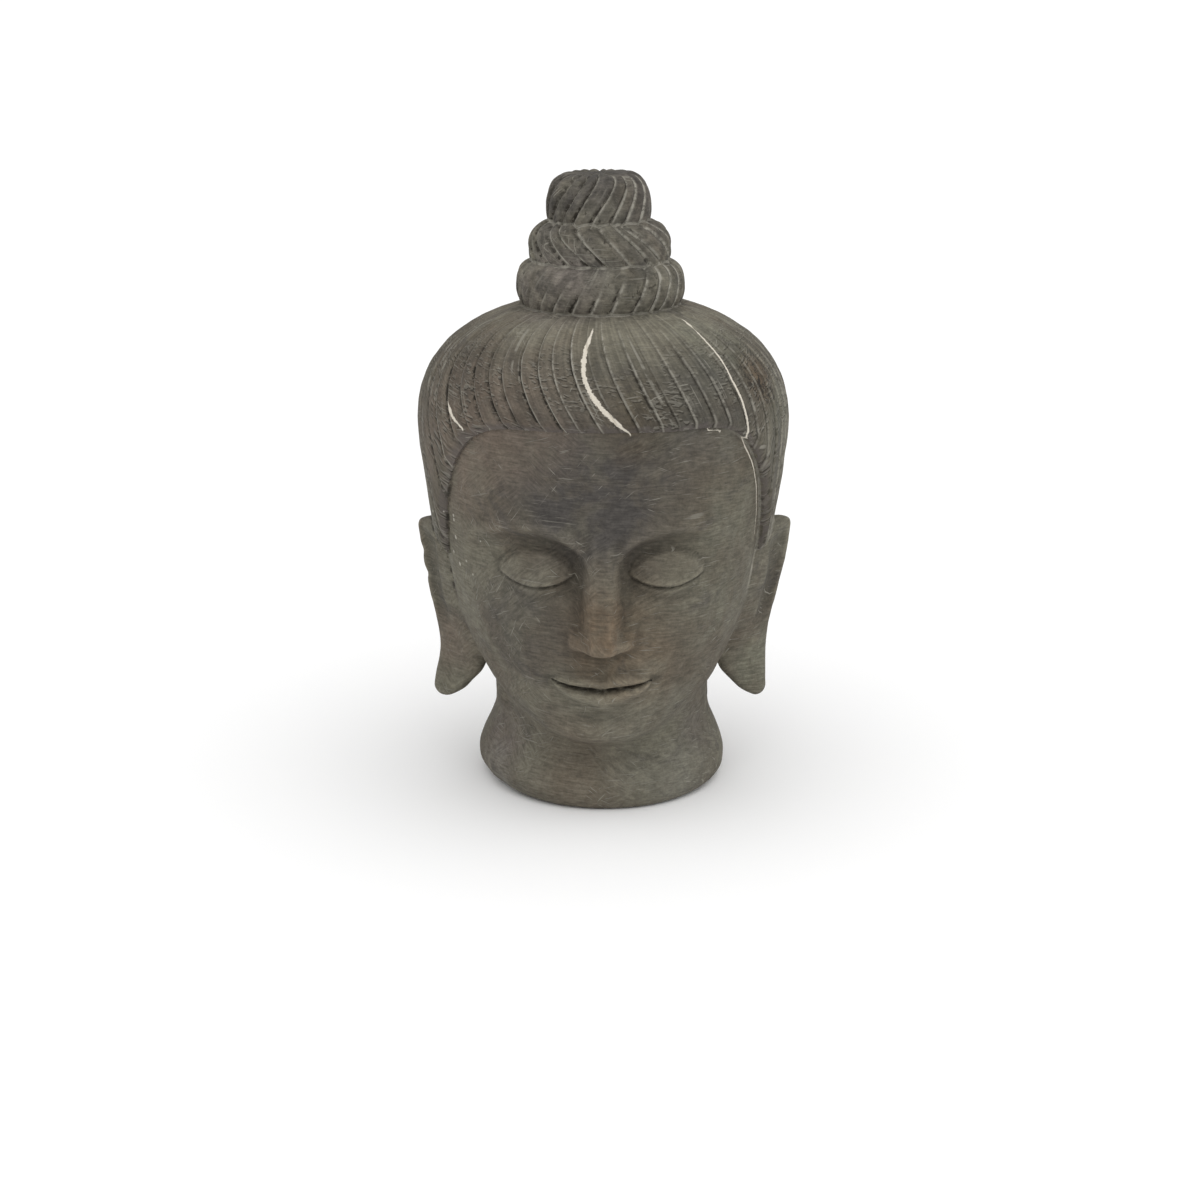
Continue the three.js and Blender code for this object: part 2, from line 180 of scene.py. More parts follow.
# Unevenness of hand work from groove to groove: depth, wear and dust as shares, shift and tilt in grooves
LOCK_DEPTHS = (0.55, 1.2)
LOCK_WEAR = (0.1, 0.7)
LOCK_DUST = (0.3, 1.2)
LOCK_SHIFT = 0.13
ROLL_DEPTHS = (0.65, 1.25)
ROLL_DUST = (0.55, 1.1)
ROLL_SHIFT = 0.16
ROLL_TILT = 0.3

# Ears: side, and the outer edge's reach at the top, the waist and the lobe
EARS = ((-1, 77.9, 69.5, 72.6), (1, 81.0, 71.0, 70.9))
EAR_TOP = 114.5
EAR_BOTTOM = 34.8
EAR_WAIST = 54.0
EAR_LOBE_TOP = 50.0
EAR_THICKNESS = 4.6
EAR_MIDDLE = -6.0
EAR_LOBE_ROUND = 5.0
EAR_TOP_ROUND = 6.0
EAR_CORNER_POWER = 0.75

# How far the ears turn out, and the reach of their roots, each between two levels
EAR_TURN_UPPER = math.radians(31)
EAR_TURN_LOBE = math.radians(56)
EAR_TURN_LEVELS = (38.0, 89.0)
EAR_ROOT_UPPER = 59.4
EAR_ROOT_LOBE = 50.4
EAR_ROOT_LEVELS = (EAR_LOBE_TOP, 96.0)
EAR_ROOT_SLOPE = 0.9

# Carved front of the ear: heights, and the levels between which its forms begin and end
EAR_RIM = 0.6
EAR_GROOVE = 0.7
EAR_BOWL = 2.4
EAR_CARVED_FROM = (64.0, 82.0)
EAR_BOWL_TO = (102.0, 110.0)
EAR_GROOVE_TO = (104.0, 111.0)

# Notches in the outer edge of the ear at the viewer's left: level, depth and half of the height
EAR_NOTCHES = ((98.0, 0.9, 2.4), (88.0, 1.2, 2.2))

# Valley between lobe and cheek that is rubbed round: distance from the seam, from the middle, and levels
VALLEY_REACH = (2, 10)
VALLEY_SIDE = (44, 48)
VALLEY_FROM = (38, 46)
VALLEY_TO = (80, 90)
VALLEY_PASSES = 40

# Waviness of the hand-cut surface: name, size and height in metres
WAVES = (("hand_waves", 0.022, 0.0009), ("tool_marks", 0.006, 0.00035))
SMOOTH_ANGLE = math.radians(50)

# Rows and columns of the skins, and where the columns lie across each lock or groove
HEAD_COLUMNS = 220
HEAD_FRONT_SPACING = 0.36
HAIR_ROWS = 64
HAIR_END_ROWS = 4
ROLL_ROWS = 30
ROLL_TOP_ROWS = 3
EAR_COLUMNS = 64
EAR_ROWS = 80
GROOVE_COLUMNS = np.array([0, 0.045, 0.09, 0.16, 0.3, 0.5, 0.7, 0.84, 0.91, 0.955])

# Veins of white calcite, from the top down: level, turn from the front in degrees, half of the width
VEINS = {
    "front": (
        (202.0, -5.5, 0.3),
        (199.0, -6.6, 0.7),
        (196.4, -7.3, 0.85),
        (191.6, -7.2, 0.9),
        (187.3, -6.4, 0.85),
        (183.2, -4.8, 0.85),
        (176.8, -0.9, 0.9),
        (171.6, 3.4, 0.85),
        (169.3, 5.2, 0.65),
        (167.7, 6.6, 0.45),
        (166.0, 8.4, 0.2),
    ),
    "right": (
        (203.2, 50.0, 0.25),
        (199.0, 47.6, 0.42),
        (193.8, 46.6, 0.45),
        (183.3, 46.0, 0.45),
        (177.1, 46.9, 0.42),
        (163.4, 48.2, 0.3),
        (160.0, 49.0, 0.25),
        (154.7, 51.5, 0.35),
        (147.5, 55.5, 0.3),
        (135.8, 60.5, 0.28),
        (126.7, 63.0, 0.22),
        (114.0, 65.5, 0.15),
    ),
    "left": (
        (174.0, -55.5, 0.2),
        (171.0, -53.1, 0.6),
        (167.9, -50.8, 0.7),
        (166.0, -48.6, 0.45),
        (164.0, -46.0, 0.2),
    ),
    "edge": ((165.8, 34.0, 0.2), (165.0, 36.5, 0.4), (164.0, 39.0, 0.2)),
}

# Colours of the stone, as linear red, green and blue
OLIVE_GREY = (0.154, 0.143, 0.108)
BROWN_GREY = (0.115, 0.098, 0.073)
WARM_BROWN = (0.160, 0.126, 0.098)
DARK_BROWN = (0.070, 0.052, 0.030)
SLATE_GREY = (0.070, 0.0635, 0.0575)
SLATE_BLUE = (0.094, 0.089, 0.080)
PLUM_GREY = (0.106, 0.091, 0.083)
RUST = (0.122, 0.080, 0.047)
OCHRE = (0.165, 0.128, 0.088)
DUSTY_PLUM = (0.152, 0.130, 0.117)
PALE_GREEN = (0.168, 0.166, 0.124)
NECK_GREY = (0.176, 0.163, 0.128)
DUST = (0.290, 0.275, 0.232)
GROOVE_DUST = (0.400, 0.380, 0.325)
WORN = (0.200, 0.190, 0.162)
# Dark of pits, chisel cuts and stains, also used for painted shade in grooves, partings and seams
PIT_AND_SHADE = (0.024, 0.020, 0.014)
CALCITE = (0.66, 0.61, 0.52)

# Places where the stone changes colour: place, radius, colour and strength
PATCHES = (
    ((-4, -76, 150), 56, SLATE_GREY, 1.25),
    ((-60, -40, 160), 50, WARM_BROWN, 0.8),
    ((-34, -66, 176), 42, WARM_BROWN, 0.9),
    ((10, -76, 176), 24, WARM_BROWN, 0.6),
    ((15, -77, 174), 28, DARK_BROWN, 0.85),
    ((5, -50, 205), 60, OLIVE_GREY, 0.7),
    ((4, -84, 80), 34, RUST, 0.7),
    ((22, -78, 66), 26, OCHRE, 0.7),
    ((-12, -62, 24), 26, RUST, 0.4),
    ((-4, -56, 8), 30, RUST, 0.35),
    ((26, -46, 14), 30, PALE_GREEN, 0.9),
    ((-72, -8, 44), 22, PALE_GREEN, 0.25),
    ((72, -8, 48), 24, PALE_GREEN, 0.9),
    ((50, -52, 104), 45, PALE_GREEN, 0.4),
    ((58, -46, 130), 30, PALE_GREEN, 0.3),
    ((72, -20, 158), 32, PALE_GREEN, 0.6),
    ((48, -40, 196), 30, PALE_GREEN, 0.7),
    ((-34, -64, 84), 32, SLATE_GREY, 0.7),
    ((0, -40, 12), 64, NECK_GREY, 0.6),
    ((-46, -30, 24), 22, DUSTY_PLUM, 0.8),
    ((44, -30, 28), 18, PLUM_GREY, 0.6),
    ((-1, -4, 250), 44, SLATE_GREY, 0.95),
    ((0, -4, 214), 42, SLATE_BLUE, 1.2),
    ((-18, -24, 214), 26, DUSTY_PLUM, 0.7),
    ((42, -60, 174), 34, SLATE_BLUE, 0.65),
    ((63, -35, 181), 16, RUST, 0.75),
    ((34, -42, 10), 22, WORN, 0.5),
    ((-66, -8, 62), 20, WARM_BROWN, 0.7),
    ((-46, -28, 6), 20, WORN, 0.8),
)

# Places with bright chips and with dark stains: place and radius
CHIPPED_PLACE = ((-60, -42, 108), 34)
STAINED_PLACE = ((63, -35, 181), 19)

# Scratches: tilt in radians, noise scale along and across them, noise level they start at, strength
SCRATCHES = (
    (0.04, 80, 1700, 0.66, 0.6),
    (-0.25, 95, 1700, 0.68, 0.8),
    (0.65, 100, 1800, 0.69, 1.0),
    (-0.8, 110, 1800, 0.69, 1.0),
)

# Levels at which the finish changes from hair to rolls, in metres
ROLLS_FROM = (0.203, 0.206)
ROLL_CREASES_FROM = (0.198, 0.204)

# Camera, floor and light
CAMERA_PLACE = (-0.0007, -0.936, 0.3594)
CAMERA_PITCH = math.radians(16.84)
CAMERA_LENS = 67.39
SENSOR_WIDTH = 36.0
FLOOR_SIZE = 40.0
FLOOR_WHITE = (0.97, 0.97, 0.97, 1)
FLOOR_ROUGHNESS = 0.9
ROUND_LIGHT = 0.62
TOP_LIGHT = 1.65
TOP_LIGHT_SPREAD = math.radians(100)
TOP_LIGHT_TILT = (math.radians(14), math.radians(6), 0)


# Shape helpers

def ease(value, start, end):
    """0 before start, 1 after end, and a smooth rise between them."""
    t = np.clip((value - start) / (end - start), 0, 1)
    return t * t * (3 - 2 * t)


def mix(a, b, share):
    """From a at share 0 to b at share 1."""
    return a + (b - a) * share


def egg_share(distance, reach, power):
    """What is left of an egg's width at a distance from its widest level."""
    inside = 1 - np.minimum(1, np.abs(distance) / reach) ** power
    return inside ** (1 / power)


def round_over(distance, reach):
    """Share of the full width at a distance from a rounded end: a quarter circle."""
    return np.sqrt(1 - (1 - np.clip(distance / reach, 0, 1)) ** 2)


def section_radius(turn, half, front, back):
    """Distance from the axis to a rounded level section, in the direction turn from the front."""
    ahead = np.cos(turn)
    depth = np.maximum(np.where(ahead > 0, front, back), 1e-3)
    side = np.abs(np.sin(turn)) / np.maximum(half, 1e-3)
    return (side ** SQUARENESS + (np.abs(ahead) / depth) ** SQUARENESS) ** (-1 / SQUARENESS)


def swelling(x, z, at_x, at_z, radius_x, radius_z):
    """A soft round swelling of height 1 around a point."""
    return np.exp(-(((x - at_x) / radius_x) ** 2) - ((z - at_z) / radius_z) ** 2)


def plain_marks(points):
    """Points of a skin without grooves, with the marks that the stone's finish reads."""
    none = np.zeros(len(points))
    marks = {name: none for name in ("pale", "dark", "hair", "relief_shade_and_highlight")}
    return {"point": points, "comb": points, "rim": none + FAR, **marks}


def soft_line(distance, centre, half):
    """A soft line along a ridge or groove: 1 at its centre, fading to both sides."""
    return np.exp(-(((distance - centre) / half) ** 2))


# Head, neck and face

def hair_section(z):
    above = z - HAIR_WIDEST
    dome = egg_share(np.maximum(above, 0), HAIR_UP, HAIR_UP_POWER)
    below = np.minimum(above, 0)
    side = np.where(above > 0, dome, egg_share(below, HAIR_SIDE_DOWN, HAIR_SIDE_POWER))
    back = np.where(above > 0, dome, egg_share(below, HAIR_BACK_DOWN, HAIR_BACK_POWER))
    return HAIR_HALF * side, HAIR_FRONT * dome, HAIR_BACK * back


def face_radius(turn, z):
    half, front, back = hair_section(z)
    below = np.maximum(0, FACE_WIDEST - z)
    face_half = FACE_HALF * egg_share(below, FACE_DOWN, FACE_POWER)
    face_front = FACE_FRONT * egg_share(below, FACE_FRONT_DOWN, FACE_FRONT_POWER)
    return section_radius(
        turn,
        np.minimum(face_half, SKULL_SHARE * half),
        np.minimum(face_front, FOREHEAD_SHARE * front),
        SKULL_SHARE * back,
    )


def neck_reach(sizes, z):
    foot, lip, waist = sizes
    rounded = mix(foot, lip, round_over(z, LIP_HEIGHT))
    return np.where(z < LIP_HEIGHT, rounded, mix(lip, waist, ease(z, LIP_HEIGHT, WAIST_HEIGHT)))


def jaw_level(turn):
    around = np.abs(turn) / math.pi
    return CHIN - 3 + JAW_RISE * ease(around, 0.05, 0.55) + NAPE_RISE * ease(around, 0.5, 0.9)


def head_radius(turn, z):
    reaches = [neck_reach(sizes, z) for sizes in (NECK_SIDE, NECK_FRONT, NECK_BACK)]
    neck = section_radius(turn, *reaches)
    jaw = jaw_level(turn)
    return mix(neck, face_radius(turn, z), ease(z, jaw, jaw + JAW_UNDERSIDE))


def brow_level(side):
    along = np.clip((side - 4) / 50, 0, 1)
    return BROW - 9 + 14 * np.sin(0.82 * math.pi * along ** 0.75)


def brow_and_socket(side, z):
    under = brow_level(side) - z
    reach = ease(side, 5, 12) * (1 - ease(side, 40, 58))
    ridge = BROW_RIDGE * soft_line(under, -1.6, 3.2)
    depth = mix(SOCKET_INNER, SOCKET_OUTER, ease(side, 10, 46))
    socket = depth * ease(under, -0.5, 5.5) * (1 - ease(under, 12, 32))
    return reach * (ridge - socket)


def lid_parting(across, level):
    """Level of the line between closed lids, bowed down from the corners at the given level."""
    return level - EYELID_BOW * (1 - np.minimum(1, across ** 2))


def eyelids(side, z):
    across = (side - EYE) / EYELID_HALF
    up = (z - EYE_LEVEL - 0.5) / 10
    ball = np.maximum(0, 1 - across ** 2 - up ** 2)
    parting = lid_parting(across, EYE_LEVEL - 0.8)
    under = 1 - ease(z, parting - 0.5, parting + 0.5)
    seam = soft_line(z - parting, -0.6, 0.7)
    rim = soft_line(z - parting, 1.1, 0.8)
    crease = soft_line(ball, 0.2, 0.09) * ease(z, EYE_LEVEL, EYE_LEVEL + 4)
    edge = np.minimum(1, ball * 5) ** 0.5
    lids = edge * (0.5 * rim - EYELID_STEP * under - 0.9 * seam)
    return EYEBALL * ball ** 0.6 + lids - 0.8 * crease


def nose(side, z):
    along = np.clip((BROW - z) / (BROW - NOSE_TIP), 0, 1)
    underside = ease(z, NOSE_BASE - 1.0, NOSE_BASE + 4.5)
    half = mix(5.0, 8.0, along)
    above = 1 - ease(z, BROW - 4, BROW + 12)
    bridge = mix(NOSE_ROOT, NOSE_HEIGHT, along ** 1.15) * (1 - ease(side, 0.4 * half, 1.5 * half)) * above
    tip = NOSE_END * swelling(side, z, 0, NOSE_TIP + 0.5, 7, 6)
    wing = NOSE_WING * swelling(side, z, 9.0, NOSE_TIP - 0.8, 4.6, 5.2)
    crease = 0.9 * swelling(side, z, 14.4, NOSE_TIP, 1.8, 5.5)
    nostril = NOSTRIL * swelling(side, z, 5.0, NOSE_BASE + 1.6, 2.5, 1.6)
    return underside * np.hypot(bridge + tip, 0.8 * wing) - crease - nostril


def mouth_level(side):
    return MOUTH + 2.4 * np.minimum(1, side / MOUTH_HALF) ** 2 - 0.5 * soft_line(side, 0, 3.0)


def lip(away, top, power):
    """Rounded swelling of a lip, at a distance from the parting and up to the lip's top."""
    swell = np.sin(math.pi * np.clip(away / top, 0, 1) ** power)
    return np.where((away > 0) & (away < top), swell, 0)


def mouth(side, z):
    above = z - mouth_level(side)
    taper = np.maximum(0, 1 - (side / MOUTH_HALF) ** 2)
    muzzle = MUZZLE * swelling(side, z, 0, MOUTH + 3, 24, 17)
    upper_top = 0.01 + 7.2 * taper ** 0.75 * (1 - 0.2 * soft_line(side, 0, 3.0))
    lower_top = 0.01 + 8.6 * taper ** 0.85
    upper = UPPER_LIP * lip(above, upper_top, 0.8)
    lower = LOWER_LIP * lip(-above, lower_top, 0.72)
    lips = (upper + lower) * taper ** 0.45
    borders = soft_line(above, upper_top, 0.8) + soft_line(above, -lower_top, 0.8)
    lips = lips + LIP_BORDER * borders * ease(taper, 0, 0.25)
    parting = -LIP_PARTING * soft_line(above, 0, 0.9) * ease(taper, 0, 0.15)
    corner = -1.6 * swelling(side, above, MOUTH_HALF + 0.6, 0, 3.2, 2.8)
    crease = -CHIN_CREASE * swelling(side, z, 0, MOUTH - 13, 15, 4)
    philtrum = -0.8 * swelling(side, z, 0, NOSE_BASE - 4.5, 2.4, 4)
    return muzzle + lips + parting + corner + crease + philtrum


def chin_and_cheeks(side, z):
    chin = CHIN_SWELL * swelling(side, z, 0, CHIN + 10, 17, 11)
    cheek = CHEEK_SWELL * swelling(side, z, 34, NOSE_BASE + 8, 17, 19)
    return chin + cheek


def face_relief(x, z):
    side = np.abs(x)
    eyes = brow_and_socket(side, z) + eyelids(side, z)
    return eyes + nose(side, z) + mouth(side, z) + chin_and_cheeks(side, z)


def face_shade_and_highlight(x, z):
    """How far the face stands out from its surroundings: 1 on ridges, -1 in hollows; the colour takes it as
    painted highlight on ridges and painted shade in hollows.
    """
    height = face_relief(x, z)
    relief_shade_and_highlight = 0
    for step, full in SHADE_AND_HIGHLIGHT_STEPS:
        sides = face_relief(x + step, z) + face_relief(x - step, z)
        ends = face_relief(x, z + step) + face_relief(x, z - step)
        relief_shade_and_highlight = relief_shade_and_highlight + np.clip((height - (sides + ends) / 4) / full, -1, 1)
    return np.clip(0.6 * relief_shade_and_highlight, -1, 1)


def face_parting_shade(x, z):
    """Painted shade in the partings of lids and lips and in the nostrils."""
    side = np.abs(x)
    across = (side - EYE) / EYELID_HALF
    lids = soft_line(z, lid_parting(across, EYE_LEVEL - 1.2), 0.7) * (1 - ease(np.abs(across), 0.85, 1.1))
    lips = soft_line(z, mouth_level(side), 0.7) * (1 - ease(side, 0.85 * MOUTH_HALF, 1.1 * MOUTH_HALF))
    nostrils = swelling(side, z, 5.0, NOSE_BASE + 1.4, 2.4, 1.4)
    return np.maximum(np.maximum(lids, lips), 0.8 * nostrils)


def foot_wear(turn, z):
    """Depth of the small chips along the foot's lip, at the front left."""
    depth = 0
    for at, level, chip, width, height in FOOT_CHIPS:
        depth = depth + chip * swelling(np.degrees(turn), z, at, level, width, height)
    return depth


def head_levels():
    """Levels of the head's rows, closest over the face."""
    zones = (
        (0, LIP_HEIGHT, 10),
        (LIP_HEIGHT, CHIN - 5, 10),
        (CHIN - 5, BROW + 10, 150),
        (BROW + 10, HAIRLINE + 8, 30),
    )
    levels = [np.linspace(start, end, rows, endpoint=False) for start, end, rows in zones]
    return np.concatenate(levels + [np.linspace(HAIRLINE + 8, HEAD_TOP, 6)])


def place_head(u, v, levels):
    rows = len(levels) + 1
    row = np.rint(v * rows).astype(int)
    share = 2 * u - 1
    turn = math.pi * (HEAD_FRONT_SPACING * share + (1 - HEAD_FRONT_SPACING) * share ** 3)
    z = levels[np.clip(row - 1, 0, rows - 2)]
    radius = np.where((row == 0) | (row == rows), 0, head_radius(turn, z) - foot_wear(turn, z))
    x = radius * np.sin(turn)
    facing = ease(np.cos(turn), 0.05, 0.35) * (radius > 0)
    y = -radius * np.cos(turn) - facing * face_relief(x, z)
    shift = FOOT_SHIFT * (1 - ease(z, 0, LIP_HEIGHT))
    points = np.stack([x + shift, y, z + 2.0 * (row == rows)], axis=1)
    # Painted shade in the face's partings and nostrils, and painted shade and highlight from its relief
    marks = {"dark": 0.7 * facing * face_parting_shade(x, z), "relief_shade_and_highlight": facing * face_shade_and_highlight(x, z)}
    return {**plain_marks(points), **marks}


# Hair

def hairline_level(turn):
    around = np.abs(turn - EDGE_SKEW)
    temple = np.clip((around - EDGE_CORNER) / (EDGE_TEMPLE - EDGE_CORNER), 0, 1) ** 3
    return HAIRLINE - EDGE_DROP * temple - EDGE_NAPE * ease(around, *EDGE_NAPE_TURNS)


def hair_angle(z):
    above = z - HAIR_WIDEST
    upper = np.arcsin(np.clip(above / HAIR_UP, 0, 1) ** (HAIR_UP_POWER / 2))
    lower = np.arcsin(np.clip(above / HAIR_BACK_DOWN, -1, 0))
    return np.where(above > 0, upper, lower)


def hair_level(angle):
    sine = np.sin(angle)
    upper = HAIR_UP * np.maximum(sine, 0) ** (2 / HAIR_UP_POWER)
    return HAIR_WIDEST + np.where(sine > 0, upper, HAIR_BACK_DOWN * sine)


def hair_points(turn, share, cut):
    sweep = LOCK_SWEEP * ((1 + np.cos(turn - LOCK_SWEEP_FROM)) / 2) ** 2
    at = turn - sweep * (1 - share ** 2)
    angle = mix(LOCK_TOP, hair_angle(hairline_level(turn)), share)
    z = hair_level(angle)
    half, front, back = hair_section(z)
    front = np.where(z < HAIR_WIDEST, HAIR_FRONT, front)
    radius = section_radius(at, half, front, back) - cut * np.cos(angle)
    lowered = cut * np.maximum(0, np.sin(angle))
    return np.stack([HAIR_SHIFT + radius * np.sin(at), -radius * np.cos(at), z - lowered], axis=1)


def lock_strength(across, share, rim, lock, turn):
    """How deep each groove is cut along its lock, and how much dust lies in it."""
    draw = np.random.default_rng(5)
    beside = np.where(across > 0.5, (lock + 1) % LOCKS, lock)
    depth = draw.uniform(*LOCK_DEPTHS, LOCKS)[beside]
    wander = draw.uniform(0, FULL_TURN, LOCKS)[beside]
    worn = draw.uniform(*LOCK_WEAR, LOCKS)[beside]
    dusted = draw.uniform(*LOCK_DUST, LOCKS)[beside]
    smooth_top = 0.6 * ease(turn, math.radians(10), math.radians(40)) * (1 - ease(share, 0.2, 0.6))
    strength = depth * (0.85 + 0.2 * np.sin(8 * share + wander)) * ease(share, 0, 0.35) * (1 - smooth_top)
    return strength * (1 - worn * (1 - ease(rim, 0.5, 4.5))), dusted


def lock_cut(across, width, share, turn, strength, dusted):
    """Depth of the hair's surface below the egg, the pale dust lines along the grooves, and the painted
    shadow beside them.

    Each lock stands highest along its left edge, with a narrow groove beside it.
    """
    away = np.where(across > 0.5, across - 1, across) * width
    slope = LOCK_SLOPE * strength * (across - 0.5)
    groove = LOCK_GROOVE * strength * np.exp(-np.abs((away + 0.4) / 0.6) ** 1.5)
    right = ease(turn, math.radians(0), math.radians(20))
    left = 1 - ease(turn, math.radians(-40), math.radians(-10))
    pale = mix(1.3, 0.95, right) * dusted * strength * soft_line(away, 0.1, mix(0.36, 0.3, right))
    # Painted shadow in each groove at the foot of the next lock's raised edge, stronger at the left and low
    # on the lock
    dark = mix(1.3, 1.5, left) * strength * soft_line(away, -0.7, mix(0.5, 0.65, left))
    return groove + slope, pale, dark * ease(share, 0.25, 0.7)


def place_hair(u, v):
    columns = LOCKS * len(GROOVE_COLUMNS)
    rows = HAIR_ROWS + HAIR_END_ROWS
    row = np.rint(v * rows).astype(int)
    column = np.rint(u * columns).astype(int) % columns
    lock, part = np.divmod(column, len(GROOVE_COLUMNS))
    across = GROOVE_COLUMNS[part]
    draw = np.random.default_rng(11)
    shift = draw.uniform(-LOCK_SHIFT, LOCK_SHIFT, LOCKS)
    spread = mix(shift[lock], shift[(lock + 1) % LOCKS], across)
    turn = FULL_TURN * (lock + across + spread) / LOCKS - math.pi
    share = np.clip((rows - 1 - row) / HAIR_ROWS, 0, 1)
    width = FULL_TURN * COMB_RADIUS / LOCKS * (0.45 + 0.55 * np.sqrt(share))
    length = FRONT_LOCK_LENGTH + HAIRLINE - hairline_level(turn)
    rim = (1 - share) * length
    strength, dusted = lock_strength(across, share, rim, lock, turn)
    cut, pale, dark = lock_cut(across, width, share, turn, strength, dusted)
    edge = EDGE_ROUNDING * (1 - ease(rim, 0, 3.5)) ** 2
    tucked = np.where(row == 2, 4.0, np.where(row == 1, 14.0, 0.0))
    points = hair_points(turn, share, cut + edge + tucked)
    points[row == 0] = (0, 0, HAIR_WIDEST - 40)
    points[row == rows] = (0, 0, hair_level(LOCK_TOP) - 2)
    comb = np.stack([COMB_RADIUS * np.sin(turn), -COMB_RADIUS * np.cos(turn), -share * length], axis=1)
    marks = {"pale": pale, "dark": dark, "hair": np.ones(len(u)), "rim": rim}
    return {**plain_marks(points), "comb": comb, **marks}


# Topknot

def roll_wear(roll_number, turn, up):
    """How much is left of a roll's grooves: the lowest roll is smooth at the front left and above."""
    if roll_number > 0:
        return np.ones(len(turn))
    smooth = 0.85 * soft_line(turn, -math.radians(58), math.radians(24))
    reach = mix(-0.1, 1.0, ease(turn, math.radians(-5), math.radians(55)))
    front = ease(np.cos(turn), -0.2, 0.3)
    return (1 - smooth) * (1 - 0.9 * front * ease(up, reach, reach + 0.35))


def roll_side(v, flatness):
    """Row of each point, and sine, cosine and height of the roll's rounded side there."""
    row = np.rint(v * ROLL_ROWS).astype(int)
    share = np.clip((row - 1) / (ROLL_ROWS - ROLL_TOP_ROWS - 1), 0, 1)
    angle = mix(ROLL_LOWEST, math.pi / 2, share)
    sine = np.sin(angle)
    cosine = np.maximum(0, np.cos(angle))
    up = np.sign(sine) * np.abs(sine) ** (2 / np.where(sine > 0, flatness, ROLL_FOOT_POWER))
    return row, sine, cosine, up


def roll_grooves(u, roll_number, grooves):
    """Share across the nearest groove, and the groove's place, tilt, depth and dust, uneven by hand."""
    columns = grooves * len(GROOVE_COLUMNS)
    column = np.rint(u * columns).astype(int) % columns
    groove, part = np.divmod(column, len(GROOVE_COLUMNS))
    across = GROOVE_COLUMNS[part]
    following = (groove + 1) % grooves
    beside = np.where(across > 0.5, following, groove)
    draw = np.random.default_rng(20 + roll_number)
    shift = draw.uniform(-ROLL_SHIFT, ROLL_SHIFT, grooves)
    depth = draw.uniform(*ROLL_DEPTHS, grooves)[beside]
    tilt = draw.uniform(-ROLL_TILT, ROLL_TILT, grooves)
    dusted = draw.uniform(*ROLL_DUST, grooves)[beside]
    place = groove + across + mix(shift[groove], shift[following], across)
    return across, place, mix(tilt[groove], tilt[following], across), depth, dusted


def roll_marks(away, up, strength, dusted):
    """Dust along one side of each groove and painted shade along the other, darkest at its foot."""
    pale = 1.4 * dusted * strength * soft_line(away, 0.12, 0.46)
    # Painted shade along each groove, lighter up the roll, and more painted shade at the groove's foot
    # under the roll
    dark = 1.8 * strength * soft_line(away, -0.75, 0.6) * (1 - 0.5 * ease(up, -0.4, 0.5))
    groove_foot_shade = 1.3 * strength * soft_line(away, -0.5, 0.75) * (1 - ease(up, -0.5, -0.15))
    return {"pale": pale, "dark": np.maximum(dark, groove_foot_shade), "hair": np.full(len(away), 0.5)}


def place_roll(u, v, roll_number):
    level, radius, reach, grooves, twist, flatness, lean = ROLLS[roll_number]
    row, sine, cosine, up = roll_side(v, flatness)
    across, place, tilt, depth, dusted = roll_grooves(u, roll_number, grooves)
    inward = np.clip((ROLL_ROWS - row) / ROLL_TOP_ROWS, 0, 1)
    own_turn = FULL_TURN * place / grooves - math.pi
    turn = own_turn + math.radians(twist) * up / 2 + tilt * FULL_TURN / grooves * up
    strength = depth * roll_wear(roll_number, turn, up) * mix(0.55, 1, cosine ** 0.3) * inward
    slant = math.atan(radius * math.radians(twist) / (2 * reach))
    away = np.where(across > 0.5, across - 1, across) * FULL_TURN * radius / grooves * math.cos(slant)
    groove = ROLL_GROOVE * strength * np.exp(-np.abs((away + 0.3) / 0.65) ** 1.5)
    cut = groove + ROLL_SWELL * strength * np.cos(FULL_TURN * across)
    out = inward * (radius * mix(ROLL_RIM, 1, cosine ** (2 / ROLL_SIDE_POWER)) - cut * cosine)
    out = np.where(row == 0, 0, out)
    z = np.where(row == 0, level - reach, level + reach * up - cut * np.maximum(0, sine))
    points = np.stack([lean + out * np.sin(turn), -out * np.cos(turn), z], axis=1)
    comb = np.stack([radius * np.sin(own_turn), -radius * np.cos(own_turn), z], axis=1)
    return {**plain_marks(points), "comb": comb, **roll_marks(away, up, strength, dusted)}


# Ears

def squared(value):
    return np.sign(value) * np.abs(value) ** EAR_CORNER_POWER


def ear_relief(across, z):
    """Height of the ear's carved front: a hollow, a rim along the outer edge and a groove inside it."""
    carved = ease(z, *EAR_CARVED_FROM)
    bowl = np.maximum(0, 1 - ((across - 0.25) / 0.4) ** 2) * carved * (1 - ease(z, *EAR_BOWL_TO))
    rim = soft_line(across, 0.8, 0.1) * carved
    groove = soft_line(across, 0.58, 0.09) * carved * (1 - ease(z, *EAR_GROOVE_TO))
    return EAR_RIM * rim - EAR_GROOVE * groove - EAR_BOWL * bowl


def ear_wear(side, z):
    """Depth of the notches in the outer edge of the ear at the viewer's left."""
    notches = 0
    for level, depth, half in EAR_NOTCHES:
        notches = notches + depth * soft_line(z, level, half)
    return notches * (side < 0)


def ear_edges(z, ear):
    """Reach of the ear's outer edge and of its root, which is sunk in the head, at each level."""
    side, upper, waist, lobe = ear
    flare = ease(z, EAR_WAIST, EAR_TOP)
    swell = 1 - ease(z, EAR_BOTTOM, EAR_WAIST + 6)
    outer = waist + (upper - waist) * flare + (lobe - waist) * swell - ear_wear(side, z)
    root = mix(EAR_ROOT_LOBE, EAR_ROOT_UPPER, ease(z, *EAR_ROOT_LEVELS))
    return outer, root + EAR_ROOT_SLOPE * np.maximum(0, EAR_LOBE_TOP - z)


